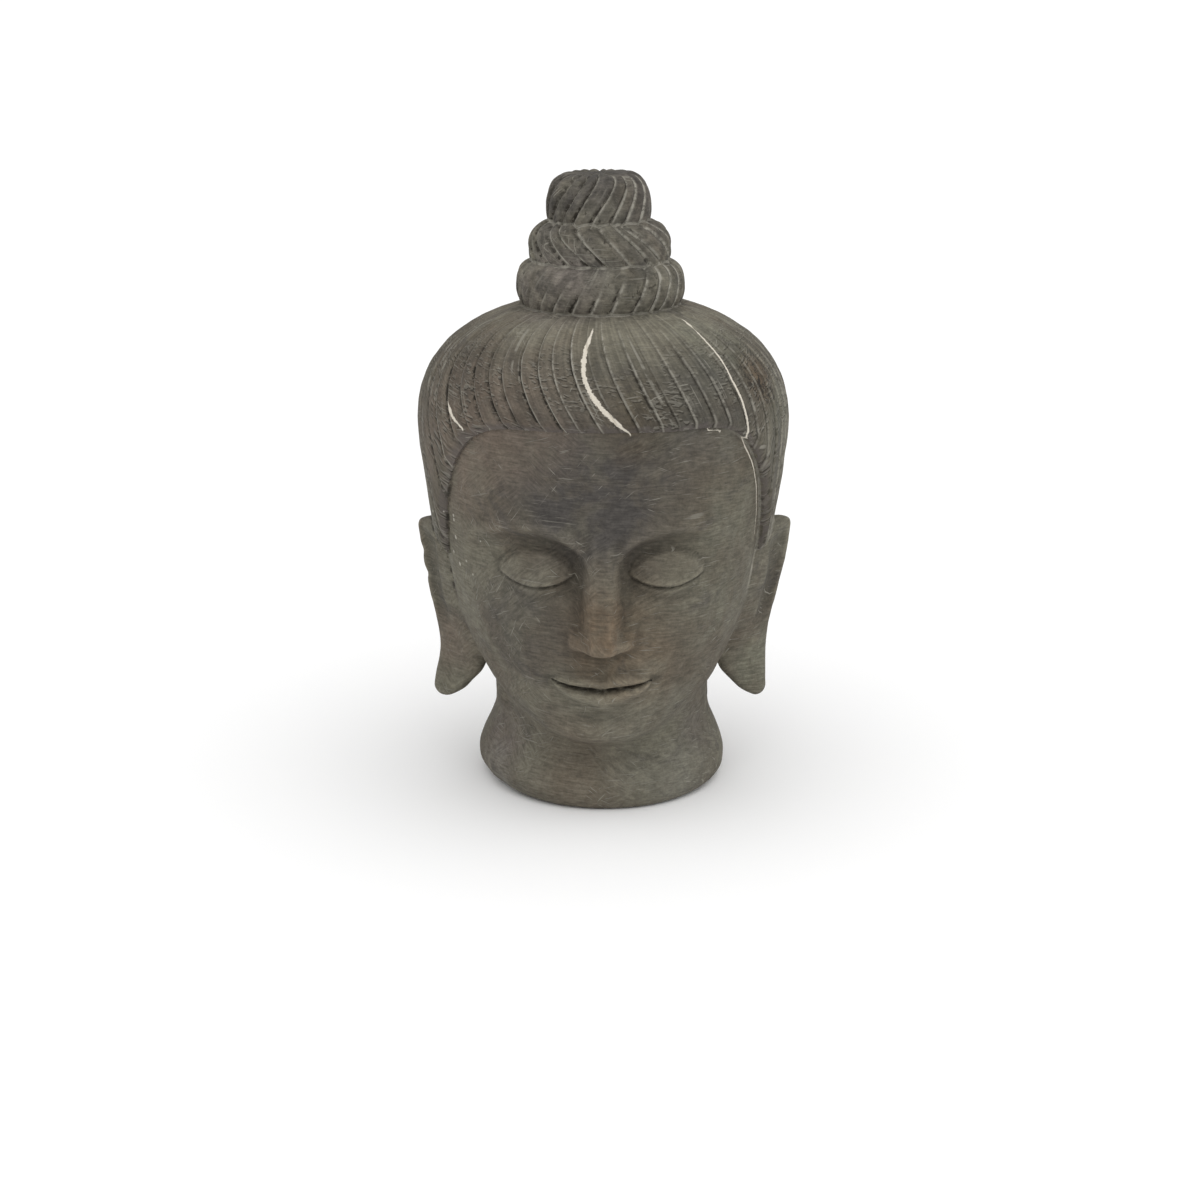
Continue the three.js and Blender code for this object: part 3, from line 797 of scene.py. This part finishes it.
def place_ear(u, v, ear):
    side = ear[0]
    z = mix(EAR_BOTTOM, EAR_TOP, (1 - np.cos(math.pi * v)) / 2)
    rounding = round_over(z - EAR_BOTTOM, EAR_LOBE_ROUND) * round_over(EAR_TOP - z, EAR_TOP_ROUND)
    turn_out = mix(EAR_TURN_LOBE, EAR_TURN_UPPER, ease(z, *EAR_TURN_LEVELS))
    outer, inner = ear_edges(z, ear)
    half = (outer - inner) / (2 * np.sin(turn_out))
    angle = -side * FULL_TURN * u
    across = squared(np.cos(angle)) * rounding
    face = squared(np.sin(angle)) * EAR_THICKNESS * rounding
    knob = (side > 0) * swelling(across, z, 0.1, 60, 0.2, 2.2)
    relief = (ear_relief(across, z) + knob) * ease(face, 0.3, 2.0)
    through = face + relief
    x = (outer + inner) / 2 + across * half * np.sin(turn_out) + through * np.cos(turn_out)
    y = EAR_MIDDLE + across * half * np.cos(turn_out) - through * np.sin(turn_out)
    # The ear's relief also goes into the colour: painted shade in its hollow and groove, painted highlight
    # on its rim
    return {**plain_marks(np.stack([side * x, y, z], axis=1)), "relief_shade_and_highlight": np.clip(relief, -1, 1)}


# Building the block

def write_marks(mesh, marks):
    for name, values in marks.items():
        kind, field = ("FLOAT_VECTOR", "vector") if values.ndim == 2 else ("FLOAT", "value")
        if name not in mesh.attributes:
            mesh.attributes.new(name, kind, "POINT")
        mesh.attributes[name].data.foreach_set(field, values.astype(np.float32).ravel())


def read_mark(mesh, name, size=1):
    values = np.empty(len(mesh.vertices) * size, dtype=np.float32)
    mesh.attributes[name].data.foreach_get("vector" if size == 3 else "value", values)
    return values.reshape(-1, size)


def wrapped_skin(name, columns, rows, place):
    """A grid wrapped round into a closed skin: place gives point and marks for each share around and up."""
    bpy.ops.object.select_all(action="DESELECT")
    bpy.ops.mesh.primitive_grid_add(x_subdivisions=columns, y_subdivisions=rows, size=1)
    skin = bpy.context.active_object
    skin.name = name
    flat = read_mark(skin.data, "position", 3) + 0.5
    marks = place(flat[:, 0].astype(float), flat[:, 1].astype(float))
    skin.data.vertices.foreach_set("co", (marks.pop("point") * MM).ravel())
    marks["comb"] = marks["comb"] * MM
    marks["old"] = np.ones(len(flat))
    write_marks(skin.data, marks)
    bpy.ops.object.mode_set(mode="EDIT")
    bpy.ops.mesh.select_all(action="SELECT")
    bpy.ops.mesh.remove_doubles(threshold=1e-6)
    bpy.ops.mesh.normals_make_consistent(inside=False)
    bpy.ops.object.mode_set(mode="OBJECT")
    return skin


def unite(block, others):
    """Joins the others to the block as one closed skin."""
    bpy.ops.object.select_all(action="DESELECT")
    bpy.context.view_layer.objects.active = block
    for other in others:
        join = block.modifiers.new(other.name, "BOOLEAN")
        join.operation = "UNION"
        join.solver = "MANIFOLD"
        join.object = other
        bpy.ops.object.modifier_apply(modifier=join.name)
        bpy.data.objects.remove(other)


def drop_slivers(block):
    """Deletes what the union left loose: all that hangs together with the underside stays."""
    bpy.ops.object.mode_set(mode="EDIT")
    bpy.ops.mesh.select_all(action="DESELECT")
    bpy.ops.object.mode_set(mode="OBJECT")
    lowest = int(np.argmin(read_mark(block.data, "position", 3)[:, 2]))
    block.data.vertices[lowest].select = True
    bpy.ops.object.mode_set(mode="EDIT")
    bpy.ops.mesh.select_linked()
    bpy.ops.mesh.select_all(action="INVERT")
    bpy.ops.mesh.delete(type="VERT")
    bpy.ops.object.mode_set(mode="OBJECT")


def fill_seams(mesh):
    """Gives the vertices that the union made along its seams the mean marks of their neighbours."""
    ends = np.empty(len(mesh.edges) * 2, dtype=np.int32)
    mesh.edges.foreach_get("vertices", ends)
    ends = np.concatenate([ends.reshape(-1, 2), ends.reshape(-1, 2)[:, ::-1]])
    known = read_mark(mesh, "old")[:, 0] > 0.5
    useful = known[ends[:, 1]] & ~known[ends[:, 0]]
    at, neighbour = ends[useful].T
    count = np.maximum(1, np.bincount(at, minlength=len(known)))
    for name, size in (("comb", 3), ("pale", 1), ("dark", 1), ("hair", 1), ("rim", 1), ("relief_shade_and_highlight", 1)):
        values = read_mark(mesh, name, size)
        for axis in range(size):
            total = np.bincount(at, values[neighbour, axis], len(known))
            values[~known, axis] = (total / count)[~known]
        write_marks(mesh, {name: values if size == 3 else values[:, 0]})
    return known


def mark_creases(mesh, known):
    """Distance to the nearest seam between the block's forms, in millimetres."""
    points = read_mark(mesh, "position", 3)
    seam = KDTree(int((~known).sum()))
    for number, point in enumerate(points[~known]):
        seam.insert(point, number)
    seam.balance()
    away = np.array([seam.find(point)[2] for point in points])
    write_marks(mesh, {"crease": away / MM})


def mark_veins(mesh):
    """Distance to each vein to its left or right around the block, in half-widths of the vein."""
    x, y, z = read_mark(mesh, "position", 3).T.astype(float) / MM
    x = x - HAIR_SHIFT
    radius = np.hypot(x, y)
    turn = np.arctan2(x, -y)
    for name, vein in VEINS.items():
        level, at_turn, half_width = np.array(vein[::-1]).T
        path = np.radians(np.interp(z, level, at_turn))
        slope = radius * (np.radians(np.interp(z + 1, level, at_turn)) - path)
        away = (turn - path) * radius / np.sqrt(1 + slope ** 2) / np.interp(z, level, half_width)
        write_marks(mesh, {f"vein_{name}": np.clip(away, -FAR, FAR)})


def soften_ears(block):
    """Rounds the valley between each ear lobe and the cheek."""
    away = read_mark(block.data, "crease")[:, 0]
    points = read_mark(block.data, "position", 3) / MM
    side = np.abs(points[:, 0])
    z = points[:, 2]
    near = (1 - ease(away, *VALLEY_REACH)) * ease(side, *VALLEY_SIDE)
    near = near * ease(z, *VALLEY_FROM) * (1 - ease(z, *VALLEY_TO))
    group = block.vertex_groups.new(name="ear_valley")
    for number in np.flatnonzero(near > 0.01):
        group.add([int(number)], float(near[number]), "REPLACE")
    rounded = block.modifiers.new("ear_valley", "SMOOTH")
    rounded.factor = 0.5
    rounded.iterations = VALLEY_PASSES
    rounded.vertex_group = group.name
    bpy.ops.object.modifier_apply(modifier=rounded.name)


def uneven_surface(block):
    """Slight waviness of a surface cut and rubbed by hand; the flat underside stays flat."""
    levels = read_mark(block.data, "position", 3)[:, 2] / MM
    group = block.vertex_groups.new(name="above_underside")
    for number in np.flatnonzero(levels > 0.5):
        group.add([int(number)], float(ease(levels[number], 0.5, 4)), "REPLACE")
    for name, size, strength in WAVES:
        texture = bpy.data.textures.new(name, "CLOUDS")
        texture.noise_scale = size
        texture.noise_depth = 1
        waves = block.modifiers.new(name, "DISPLACE")
        waves.texture = texture
        waves.texture_coords = "LOCAL"
        waves.strength = strength
        waves.mid_level = 0.5
        waves.vertex_group = group.name
        bpy.ops.object.modifier_apply(modifier=waves.name)


def carve_block():
    levels = head_levels()
    place = partial(place_head, levels=levels)
    block = wrapped_skin("stone_head", HEAD_COLUMNS, len(levels) + 1, place)
    columns = LOCKS * len(GROOVE_COLUMNS)
    others = [wrapped_skin("hair", columns, HAIR_ROWS + HAIR_END_ROWS, place_hair)]
    for number, roll in enumerate(ROLLS):
        columns = roll[3] * len(GROOVE_COLUMNS)
        place = partial(place_roll, roll_number=number)
        others.append(wrapped_skin(f"roll_{number}", columns, ROLL_ROWS, place))
    for ear in EARS:
        others.append(wrapped_skin("ear", EAR_COLUMNS, EAR_ROWS, partial(place_ear, ear=ear)))
    unite(block, others)
    drop_slivers(block)
    known = fill_seams(block.data)
    mark_creases(block.data, known)
    mark_veins(block.data)
    bpy.ops.object.select_all(action="DESELECT")
    block.select_set(True)
    bpy.context.view_layer.objects.active = block
    soften_ears(block)
    uneven_surface(block)
    bpy.ops.object.shade_smooth_by_angle(angle=SMOOTH_ANGLE)
    return block


# Stone finish

def add_node(tree, kind, values=None, **settings):
    """A node with its settings, and the values of its unlinked inputs by name or number."""
    made = tree.nodes.new(kind)
    for name, value in settings.items():
        setattr(made, name, value)
    for key, value in (values or {}).items():
        made.inputs[key].default_value = value
    return made


def noise(tree, vector, scale, detail=3.0, roughness=0.55, distortion=0.0):
    values = {"Scale": scale, "Detail": detail, "Roughness": roughness, "Distortion": distortion}
    made = add_node(tree, "ShaderNodeTexNoise", values)
    tree.links.new(vector, made.inputs["Vector"])
    return made.outputs[0]


def ramp(tree, value, start, end, low=0.0, high=1.0):
    """Maps a value smoothly from the range start to end onto low to high."""
    values = {"From Min": start, "From Max": end, "To Min": low, "To Max": high}
    made = add_node(tree, "ShaderNodeMapRange", values, interpolation_type="SMOOTHSTEP")
    tree.links.new(value, made.inputs["Value"])
    return made.outputs["Result"]


def compute(tree, operation, first, second=None):
    made = add_node(tree, "ShaderNodeMath", operation=operation)
    for socket, value in zip(made.inputs, (first, second)):
        if isinstance(value, (int, float)):
            socket.default_value = value
        elif value is not None:
            tree.links.new(value, socket)
    return made.outputs[0]


def blend(tree, factor, first, second, mode="MIX"):
    """Mixes two colours by a factor, each a socket or a fixed value."""
    made = add_node(tree, "ShaderNodeMix", data_type="RGBA", blend_type=mode)
    for socket, value in ((made.inputs[0], factor), (made.inputs[6], first), (made.inputs[7], second)):
        if isinstance(value, tuple):
            socket.default_value = (*value, 1)
        elif isinstance(value, (int, float)):
            socket.default_value = value
        else:
            tree.links.new(value, socket)
    return made.outputs[2]


def blend_values(tree, factor, first, second):
    """Mixes two values by a factor."""
    made = add_node(tree, "ShaderNodeMix", data_type="FLOAT")
    for socket, value in ((made.inputs[0], factor), (made.inputs[2], first), (made.inputs[3], second)):
        tree.links.new(value, socket)
    return made.outputs[0]


def mapped(tree, vector, scale, rotation=(0, 0, 0), place=(0, 0, 0)):
    """The vector moved and turned, then stretched along its own axes."""
    values = {"Scale": tuple(1 / c for c in scale), "Rotation": rotation, "Location": place}
    made = add_node(tree, "ShaderNodeMapping", values, vector_type="TEXTURE")
    tree.links.new(vector, made.inputs["Vector"])
    return made.outputs["Vector"]


def new_group(name, inputs, outputs):
    """An empty node group with named sockets, with its input and output nodes."""
    tree = bpy.data.node_groups.new(name, "ShaderNodeTree")
    for socket, kind in inputs:
        tree.interface.new_socket(socket, in_out="INPUT", socket_type=kind)
    for socket, kind in outputs:
        tree.interface.new_socket(socket, in_out="OUTPUT", socket_type=kind)
    return tree, tree.nodes.new("NodeGroupInput"), tree.nodes.new("NodeGroupOutput")


def spot(tree, vector, place, radius):
    """A soft round mask around a place in the stone, both in millimetres."""
    away = add_node(tree, "ShaderNodeVectorMath", {1: tuple(c * MM for c in place)}, operation="DISTANCE")
    tree.links.new(vector, away.inputs[0])
    return ramp(tree, away.outputs["Value"], radius * MM, 0.3 * radius * MM)


def times(tree, *values):
    """The product of masks and numbers."""
    product = values[0]
    for value in values[1:]:
        product = compute(tree, "MULTIPLY", product, value)
    return product


def shade_by(tree, colour, value):
    """Makes a colour lighter or darker by a value around 1."""
    shade = add_node(tree, "ShaderNodeCombineColor")
    for channel in shade.inputs:
        tree.links.new(value, channel)
    return blend(tree, 1.0, colour, shade.outputs[0], "MULTIPLY")


def lay_over(tree, colour, layers):
    """Lays tints over a colour one after another, each where its mask shows it."""
    for mask, tint in layers:
        colour = blend(tree, mask, colour, tint)
    return colour


def mottle_group():
    """Colour of the bare stone: cloudy grey with rusty, dark and pale places."""
    sockets = [("Vector", "NodeSocketVector")]
    tree, given, result = new_group("stone_mottle", sockets, [("Color", "NodeSocketColor")])
    vector = given.outputs["Vector"]
    cloud = ramp(tree, noise(tree, vector, 26, 6, 0.62, 0.5), 0.36, 0.64)
    colour = blend(tree, cloud, BROWN_GREY, OLIVE_GREY)
    broken = ramp(tree, noise(tree, vector, 70, 6, 0.65, 0.3), 0.32, 0.68, 0.35, 1.0)
    for place, radius, tint, strength in PATCHES:
        patch = times(tree, spot(tree, vector, place, radius), broken, strength)
        colour = blend(tree, patch, colour, tint)
    slanted = mapped(tree, vector, (1, 1, 2.2), (0.5, 0.3, 0))
    dark = ramp(tree, noise(tree, slanted, 34, 6, 0.68, 0.6), 0.54, 0.72)
    colour = blend(tree, times(tree, dark, 0.6), colour, SLATE_GREY)
    flecks = ramp(tree, noise(tree, vector, 260, 4, 0.7), 0.3, 0.7, 0.87, 1.13)
    tree.links.new(shade_by(tree, colour, flecks), result.inputs["Color"])
    return tree


def scratch_lines(tree, vector):
    """Long thin scratches in four directions, each in patches of its own."""
    total = None
    for tilt, along, across, cut, strength in SCRATCHES:
        stretched = mapped(tree, vector, (along, along, across), (tilt, tilt, 0))
        lines = ramp(tree, noise(tree, stretched, 1.0, 1, 0.5, 0.1), cut, cut + 0.05)
        patch = ramp(tree, noise(tree, vector, 45 + 20 * tilt, 2, 0.5), 0.5, 0.6)
        strokes = times(tree, lines, patch, strength)
        total = strokes if total is None else compute(tree, "MAXIMUM", total, strokes)
    return total


def rasp_group():
    """Fine strokes of rasp and sanding paper: streaks in changing directions, level hatching, scratches."""
    outputs = [(name, "NodeSocketFloat") for name in ("Streaks", "Hatch", "Scratches")]
    tree, given, result = new_group("rasp_strokes", [("Vector", "NodeSocketVector")], outputs)
    vector = given.outputs["Vector"]
    hatch = noise(tree, mapped(tree, vector, (270, 270, 1500), (0, 0.05, 0)), 1.0, 3, 0.7, 0.2)
    tree.links.new(ramp(tree, hatch, 0.3, 0.7, -1, 1), result.inputs["Hatch"])
    streaks = noise(tree, mapped(tree, vector, (150, 150, 1150), (0, 0.06, 0)), 1.0, 3, 0.65, 0.3)
    for tilt, size, cut in ((-0.5, 38, 0.55), (0.55, 43, 0.57)):
        slanted = noise(tree, mapped(tree, vector, (170, 170, 1150), (tilt, tilt, 0)), 1.0, 3, 0.65, 0.3)
        patch = ramp(tree, noise(tree, vector, size, 2, 0.5), cut - 0.04, cut + 0.04)
        streaks = blend_values(tree, patch, streaks, slanted)
    tree.links.new(ramp(tree, streaks, 0.28, 0.72, -1, 1), result.inputs["Streaks"])
    tree.links.new(scratch_lines(tree, vector), result.inputs["Scratches"])
    return tree


def comb_group():
    """Marks in the hair: fine lines along the locks, and chisel chatter and dark places low down."""
    names = ("Lines", "Strands", "Cuts", "Burrs", "Low")
    outputs = [(name, "NodeSocketFloat") for name in names]
    tree, given, result = new_group("comb_marks", [("Vector", "NodeSocketVector")], outputs)
    vector = given.outputs["Vector"]
    lines = noise(tree, mapped(tree, vector, (620, 620, 16)), 1.0, 2, 0.55, 0.1)
    tree.links.new(ramp(tree, lines, 0.3, 0.7), result.inputs["Lines"])
    thin = noise(tree, mapped(tree, vector, (480, 480, 12)), 1.0, 1, 0.5, 0.1)
    here = ramp(tree, noise(tree, vector, 90, 4, 0.65), 0.46, 0.6)
    tree.links.new(times(tree, ramp(tree, thin, 0.63, 0.7), here), result.inputs["Strands"])
    height = add_node(tree, "ShaderNodeSeparateXYZ")
    tree.links.new(vector, height.inputs[0])
    low = ramp(tree, height.outputs["Z"], -0.014, -0.036)
    drawn_out = noise(tree, mapped(tree, vector, (110, 110, 40)), 1.0, 4, 0.6)
    tree.links.new(times(tree, low, ramp(tree, drawn_out, 0.36, 0.6, 0.5, 1.0)), result.inputs["Low"])
    patch = ramp(tree, noise(tree, vector, 75, 3, 0.6), 0.42, 0.56, 0.1, 1.0)
    for name, drop in (("Cuts", 0), ("Burrs", 0.0006)):
        stretched = mapped(tree, vector, (330, 330, 900), (0.12, 0.12, 0), (0, 0, drop))
        strokes = ramp(tree, noise(tree, stretched, 1.0, 1, 0.5, 0.3), 0.57, 0.63)
        tree.links.new(times(tree, strokes, patch, low), result.inputs[name])
    return tree


def chip_group():
    """Small bright chips, scattered over one place."""
    sockets = [("Vector", "NodeSocketVector")]
    tree, given, result = new_group("stone_chips", sockets, [("Mask", "NodeSocketFloat")])
    cells = add_node(tree, "ShaderNodeTexVoronoi", {"Scale": 170, "Randomness": 1.0})
    tree.links.new(given.outputs["Vector"], cells.inputs["Vector"])
    parts = add_node(tree, "ShaderNodeSeparateColor")
    tree.links.new(cells.outputs["Color"], parts.inputs[0])
    crowd = times(tree, spot(tree, given.outputs["Vector"], *CHIPPED_PLACE), 0.65)
    chosen = ramp(tree, compute(tree, "ADD", parts.outputs[0], crowd), 1.0, 1.01)
    size = ramp(tree, parts.outputs[1], 0, 1, 0.06, 0.18)
    inside = compute(tree, "LESS_THAN", cells.outputs["Distance"], size)
    tree.links.new(times(tree, chosen, inside), result.inputs["Mask"])
    return tree


def place_group(tree, group, vector):
    made = add_node(tree, "ShaderNodeGroup", node_tree=group)
    tree.links.new(vector, made.inputs["Vector"])
    return made.outputs


def mark(tree, name):
    """A mark that was written on the block's mesh, as a value."""
    return add_node(tree, "ShaderNodeAttribute", attribute_name=name).outputs["Fac"]


def vein_mask(tree, vector, axes):
    """Where the calcite shows at the front, with ragged edges."""
    ragged = ramp(tree, noise(tree, vector, 520, 4, 0.7), 0.3, 0.7, -0.4, 0.4)
    total = None
    for name, vein in VEINS.items():
        top, bottom = vein[0][0] * MM, vein[-1][0] * MM
        away = compute(tree, "ABSOLUTE", mark(tree, f"vein_{name}"))
        shown = ramp(tree, compute(tree, "ADD", away, ragged), 1.15, 0.8)
        ends = times(tree, ramp(tree, axes["Z"], top + MM, top), ramp(tree, axes["Z"], bottom - MM, bottom))
        shown = times(tree, shown, ends)
        total = shown if total is None else compute(tree, "MAXIMUM", total, shown)
    return times(tree, total, ramp(tree, axes["Y"], 0, -0.01))


def crease_marks(tree, vector, axes, patchy):
    """Dust in the creases of the topknot and along the right ear, and painted shade in broken bits along
    the seams at the left ear.
    """
    near = ramp(tree, mark(tree, "crease"), 1.2, 0.35)
    rolls = ramp(tree, axes["Z"], *ROLL_CREASES_FROM)
    right = times(tree, ramp(tree, axes["X"], 0.045, 0.06), ramp(tree, axes["Z"], 0.08, 0.095), 0.7)
    place = compute(tree, "MAXIMUM", rolls, right)
    dusty = times(tree, near, place, ramp(tree, patchy, 0, 1, 0.45, 1.0))
    # Painted shade in broken bits along the seams near the left ear
    wide = ramp(tree, mark(tree, "crease"), 1.8, 0.5)
    gaps = ramp(tree, noise(tree, vector, 230, 2, 0.6), 0.46, 0.56)
    left = times(tree, ramp(tree, axes["X"], -0.045, -0.06), ramp(tree, axes["Z"], 0.08, 0.09))
    left = times(tree, left, ramp(tree, axes["Z"], 0.145, 0.13))
    return dusty, times(tree, wide, gaps, left)


def stone_marks(tree):
    """Places, marks of tools and patterns that both the stone's colour and its height read."""
    look = SimpleNamespace()
    look.vector = add_node(tree, "ShaderNodeTexCoord").outputs["Object"]
    parts = add_node(tree, "ShaderNodeSeparateXYZ")
    tree.links.new(look.vector, parts.inputs[0])
    look.axes = parts.outputs
    combed = add_node(tree, "ShaderNodeAttribute", attribute_name="comb").outputs["Vector"]
    streaks, hatch, look.scratches = place_group(tree, rasp_group(), combed)
    lines, look.strands, cuts, look.burrs, look.low = place_group(tree, comb_group(), combed)
    look.hair = mark(tree, "hair")
    look.hair_lines = times(tree, lines, look.hair)
    look.hair_cuts = times(tree, cuts, look.hair)
    look.patchy = ramp(tree, noise(tree, look.vector, 160, 4, 0.7), 0.34, 0.6)
    look.grain = noise(tree, look.vector, 800, 3, 0.75)
    look.rolls = ramp(tree, look.axes["Z"], *ROLLS_FROM)
    soft = times(tree, streaks, ramp(tree, look.hair, 0, 1, 0.25, 0.14))
    look.strokes = blend_values(tree, look.rolls, soft, times(tree, hatch, 0.2))
    return look


def bare_stone(tree, look):
    """Colour of the worked stone, lighter and darker by strokes, grain, painted highlight and shade from
    the relief, hair and blotches.
    """
    colour = place_group(tree, mottle_group(), look.vector)[0]
    blotches = ramp(tree, noise(tree, look.vector, 130, 5, 0.7, 0.5), 0.35, 0.65, -0.3, 0.3)
    shades = (
        compute(tree, "ADD", look.strokes, 1.0),
        ramp(tree, look.grain, 0.3, 0.7, 0.88, 1.12),
        # Painted shade in the hollows of face and ears, painted highlight on their ridges
        ramp(tree, mark(tree, "relief_shade_and_highlight"), -1, 1, 0.72, 1.28),
        compute(tree, "ADD", times(tree, blotches, look.rolls), 1.0),
        ramp(tree, look.hair_lines, 0, 1, 0.92, 1.2),
        ramp(tree, times(tree, look.low, look.hair), 0, 1, 1.0, 0.62),
    )
    for shade in shades:
        colour = shade_by(tree, colour, shade)
    return colour


def tool_marks(tree, look, colour):
    """Rubbed edge of the hair, chisel cuts and strands in it, scratches, and pits and stains."""
    ragged_rim = compute(tree, "ADD", mark(tree, "rim"), ramp(tree, look.patchy, 0, 1, 0, 2))
    rubbed = ramp(tree, ragged_rim, 4.5, 1.5)
    pits = ramp(tree, noise(tree, look.vector, 300, 3, 0.6, 0.4), 0.64, 0.7)
    stains = ramp(tree, noise(tree, look.vector, 300, 6, 0.75, 0.6), 0.525, 0.55)
    layers = (
        (times(tree, rubbed, 0.7), PLUM_GREY),
        (times(tree, look.hair_cuts, 0.75), PIT_AND_SHADE),
        (times(tree, look.burrs, look.hair, 0.35), DUST),
        (times(tree, look.strands, look.hair, 0.55), DUST),
        (times(tree, look.scratches, ramp(tree, look.rolls, 0, 1, 0.7, 0.8)), DUST),
        (times(tree, pits, look.rolls, 0.7), PIT_AND_SHADE),
        (times(tree, stains, spot(tree, look.vector, *STAINED_PLACE)), PIT_AND_SHADE),
    )
    return lay_over(tree, colour, layers)


def shade_dust_and_veins(tree, look, colour):
    """Painted shade and dust in grooves and creases, bright chips, and the veins over all."""
    broken = ramp(tree, noise(tree, look.vector, 420, 2, 0.6), 0.46, 0.54, 0.08, 1.0)
    flaky = ramp(tree, noise(tree, look.vector, 260, 4, 0.75), 0.36, 0.58, 0.15, 1.0)
    dusty, notches = crease_marks(tree, look.vector, look.axes, look.patchy)
    chips = place_group(tree, chip_group(), look.vector)[0]
    layers = (
        # Painted shade along the grooves of hair and rolls and in the face's partings and nostrils
        (times(tree, mark(tree, "dark"), broken), PIT_AND_SHADE),
        (times(tree, mark(tree, "pale"), flaky), GROOVE_DUST),
        (times(tree, dusty, 0.8), GROOVE_DUST),
        # Painted shade along the seams near the left ear
        (times(tree, notches, 0.85), PIT_AND_SHADE),
        (times(tree, chips, 0.8), GROOVE_DUST),
        (vein_mask(tree, look.vector, look.axes), CALCITE),
    )
    return lay_over(tree, colour, layers)


def fine_height(tree, look):
    """Height of grain and strokes, too fine for the mesh."""
    height = compute(tree, "ADD", times(tree, look.grain, 0.8), look.strokes)
    height = compute(tree, "SUBTRACT", height, times(tree, look.scratches, 0.7))
    height = compute(tree, "ADD", height, times(tree, look.hair_lines, 0.9))
    return compute(tree, "SUBTRACT", height, times(tree, look.hair_cuts, 0.5))


def stone_material():
    material = bpy.data.materials.new("stone")
    material.use_nodes = True
    tree = material.node_tree
    shader = tree.nodes["Principled BSDF"]
    look = stone_marks(tree)
    colour = bare_stone(tree, look)
    colour = tool_marks(tree, look, colour)
    colour = shade_dust_and_veins(tree, look, colour)
    tree.links.new(colour, shader.inputs["Base Color"])
    rough = ramp(tree, noise(tree, look.vector, 120, 3, 0.6), 0.3, 0.7, 0.72, 0.9)
    tree.links.new(rough, shader.inputs["Roughness"])
    shader.inputs["Specular IOR Level"].default_value = 0.3
    bump = add_node(tree, "ShaderNodeBump", {"Strength": 0.6, "Distance": 0.0004})
    tree.links.new(fine_height(tree, look), bump.inputs["Height"])
    tree.links.new(bump.outputs["Normal"], shader.inputs["Normal"])
    return material


def cover_in_stone(block):
    """Gives every face of the block the one material."""
    mesh = block.data
    mesh.materials.clear()
    mesh.materials.append(stone_material())
    mesh.polygons.foreach_set("material_index", np.zeros(len(mesh.polygons), dtype=np.int32))


# Stage

def place_camera():
    data = bpy.data.cameras.new("camera")
    data.lens = CAMERA_LENS
    data.sensor_width = SENSOR_WIDTH
    camera = bpy.data.objects.new("camera", data)
    bpy.context.scene.collection.objects.link(camera)
    camera.location = CAMERA_PLACE
    camera.rotation_euler = (math.pi / 2 - CAMERA_PITCH, 0, 0)
    bpy.context.scene.camera = camera


def place_floor():
    bpy.ops.object.select_all(action="DESELECT")
    bpy.ops.mesh.primitive_plane_add(size=FLOOR_SIZE)
    floor = bpy.context.active_object
    floor.name = "floor"
    material = bpy.data.materials.new("pale_floor")
    material.use_nodes = True
    shader = material.node_tree.nodes["Principled BSDF"]
    shader.inputs["Base Color"].default_value = FLOOR_WHITE
    shader.inputs["Roughness"].default_value = FLOOR_ROUGHNESS
    floor.data.materials.append(material)


def place_lights():
    """Even light from all round, and a broad soft light from above."""
    world = bpy.data.worlds.new("studio")
    world.use_nodes = True
    world.node_tree.nodes["Background"].inputs["Color"].default_value = (1, 1, 1, 1)
    world.node_tree.nodes["Background"].inputs["Strength"].default_value = ROUND_LIGHT
    bpy.context.scene.world = world
    data = bpy.data.lights.new("soft_sky", "SUN")
    data.energy = TOP_LIGHT
    data.angle = TOP_LIGHT_SPREAD
    lamp = bpy.data.objects.new("soft_sky", data)
    bpy.context.scene.collection.objects.link(lamp)
    lamp.rotation_euler = TOP_LIGHT_TILT


stone_head = carve_block()
cover_in_stone(stone_head)
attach(stone_head, "root")
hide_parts(NODE)

place_camera()
place_floor()
place_lights()
bpy.context.scene.view_settings.view_transform = "Standard"
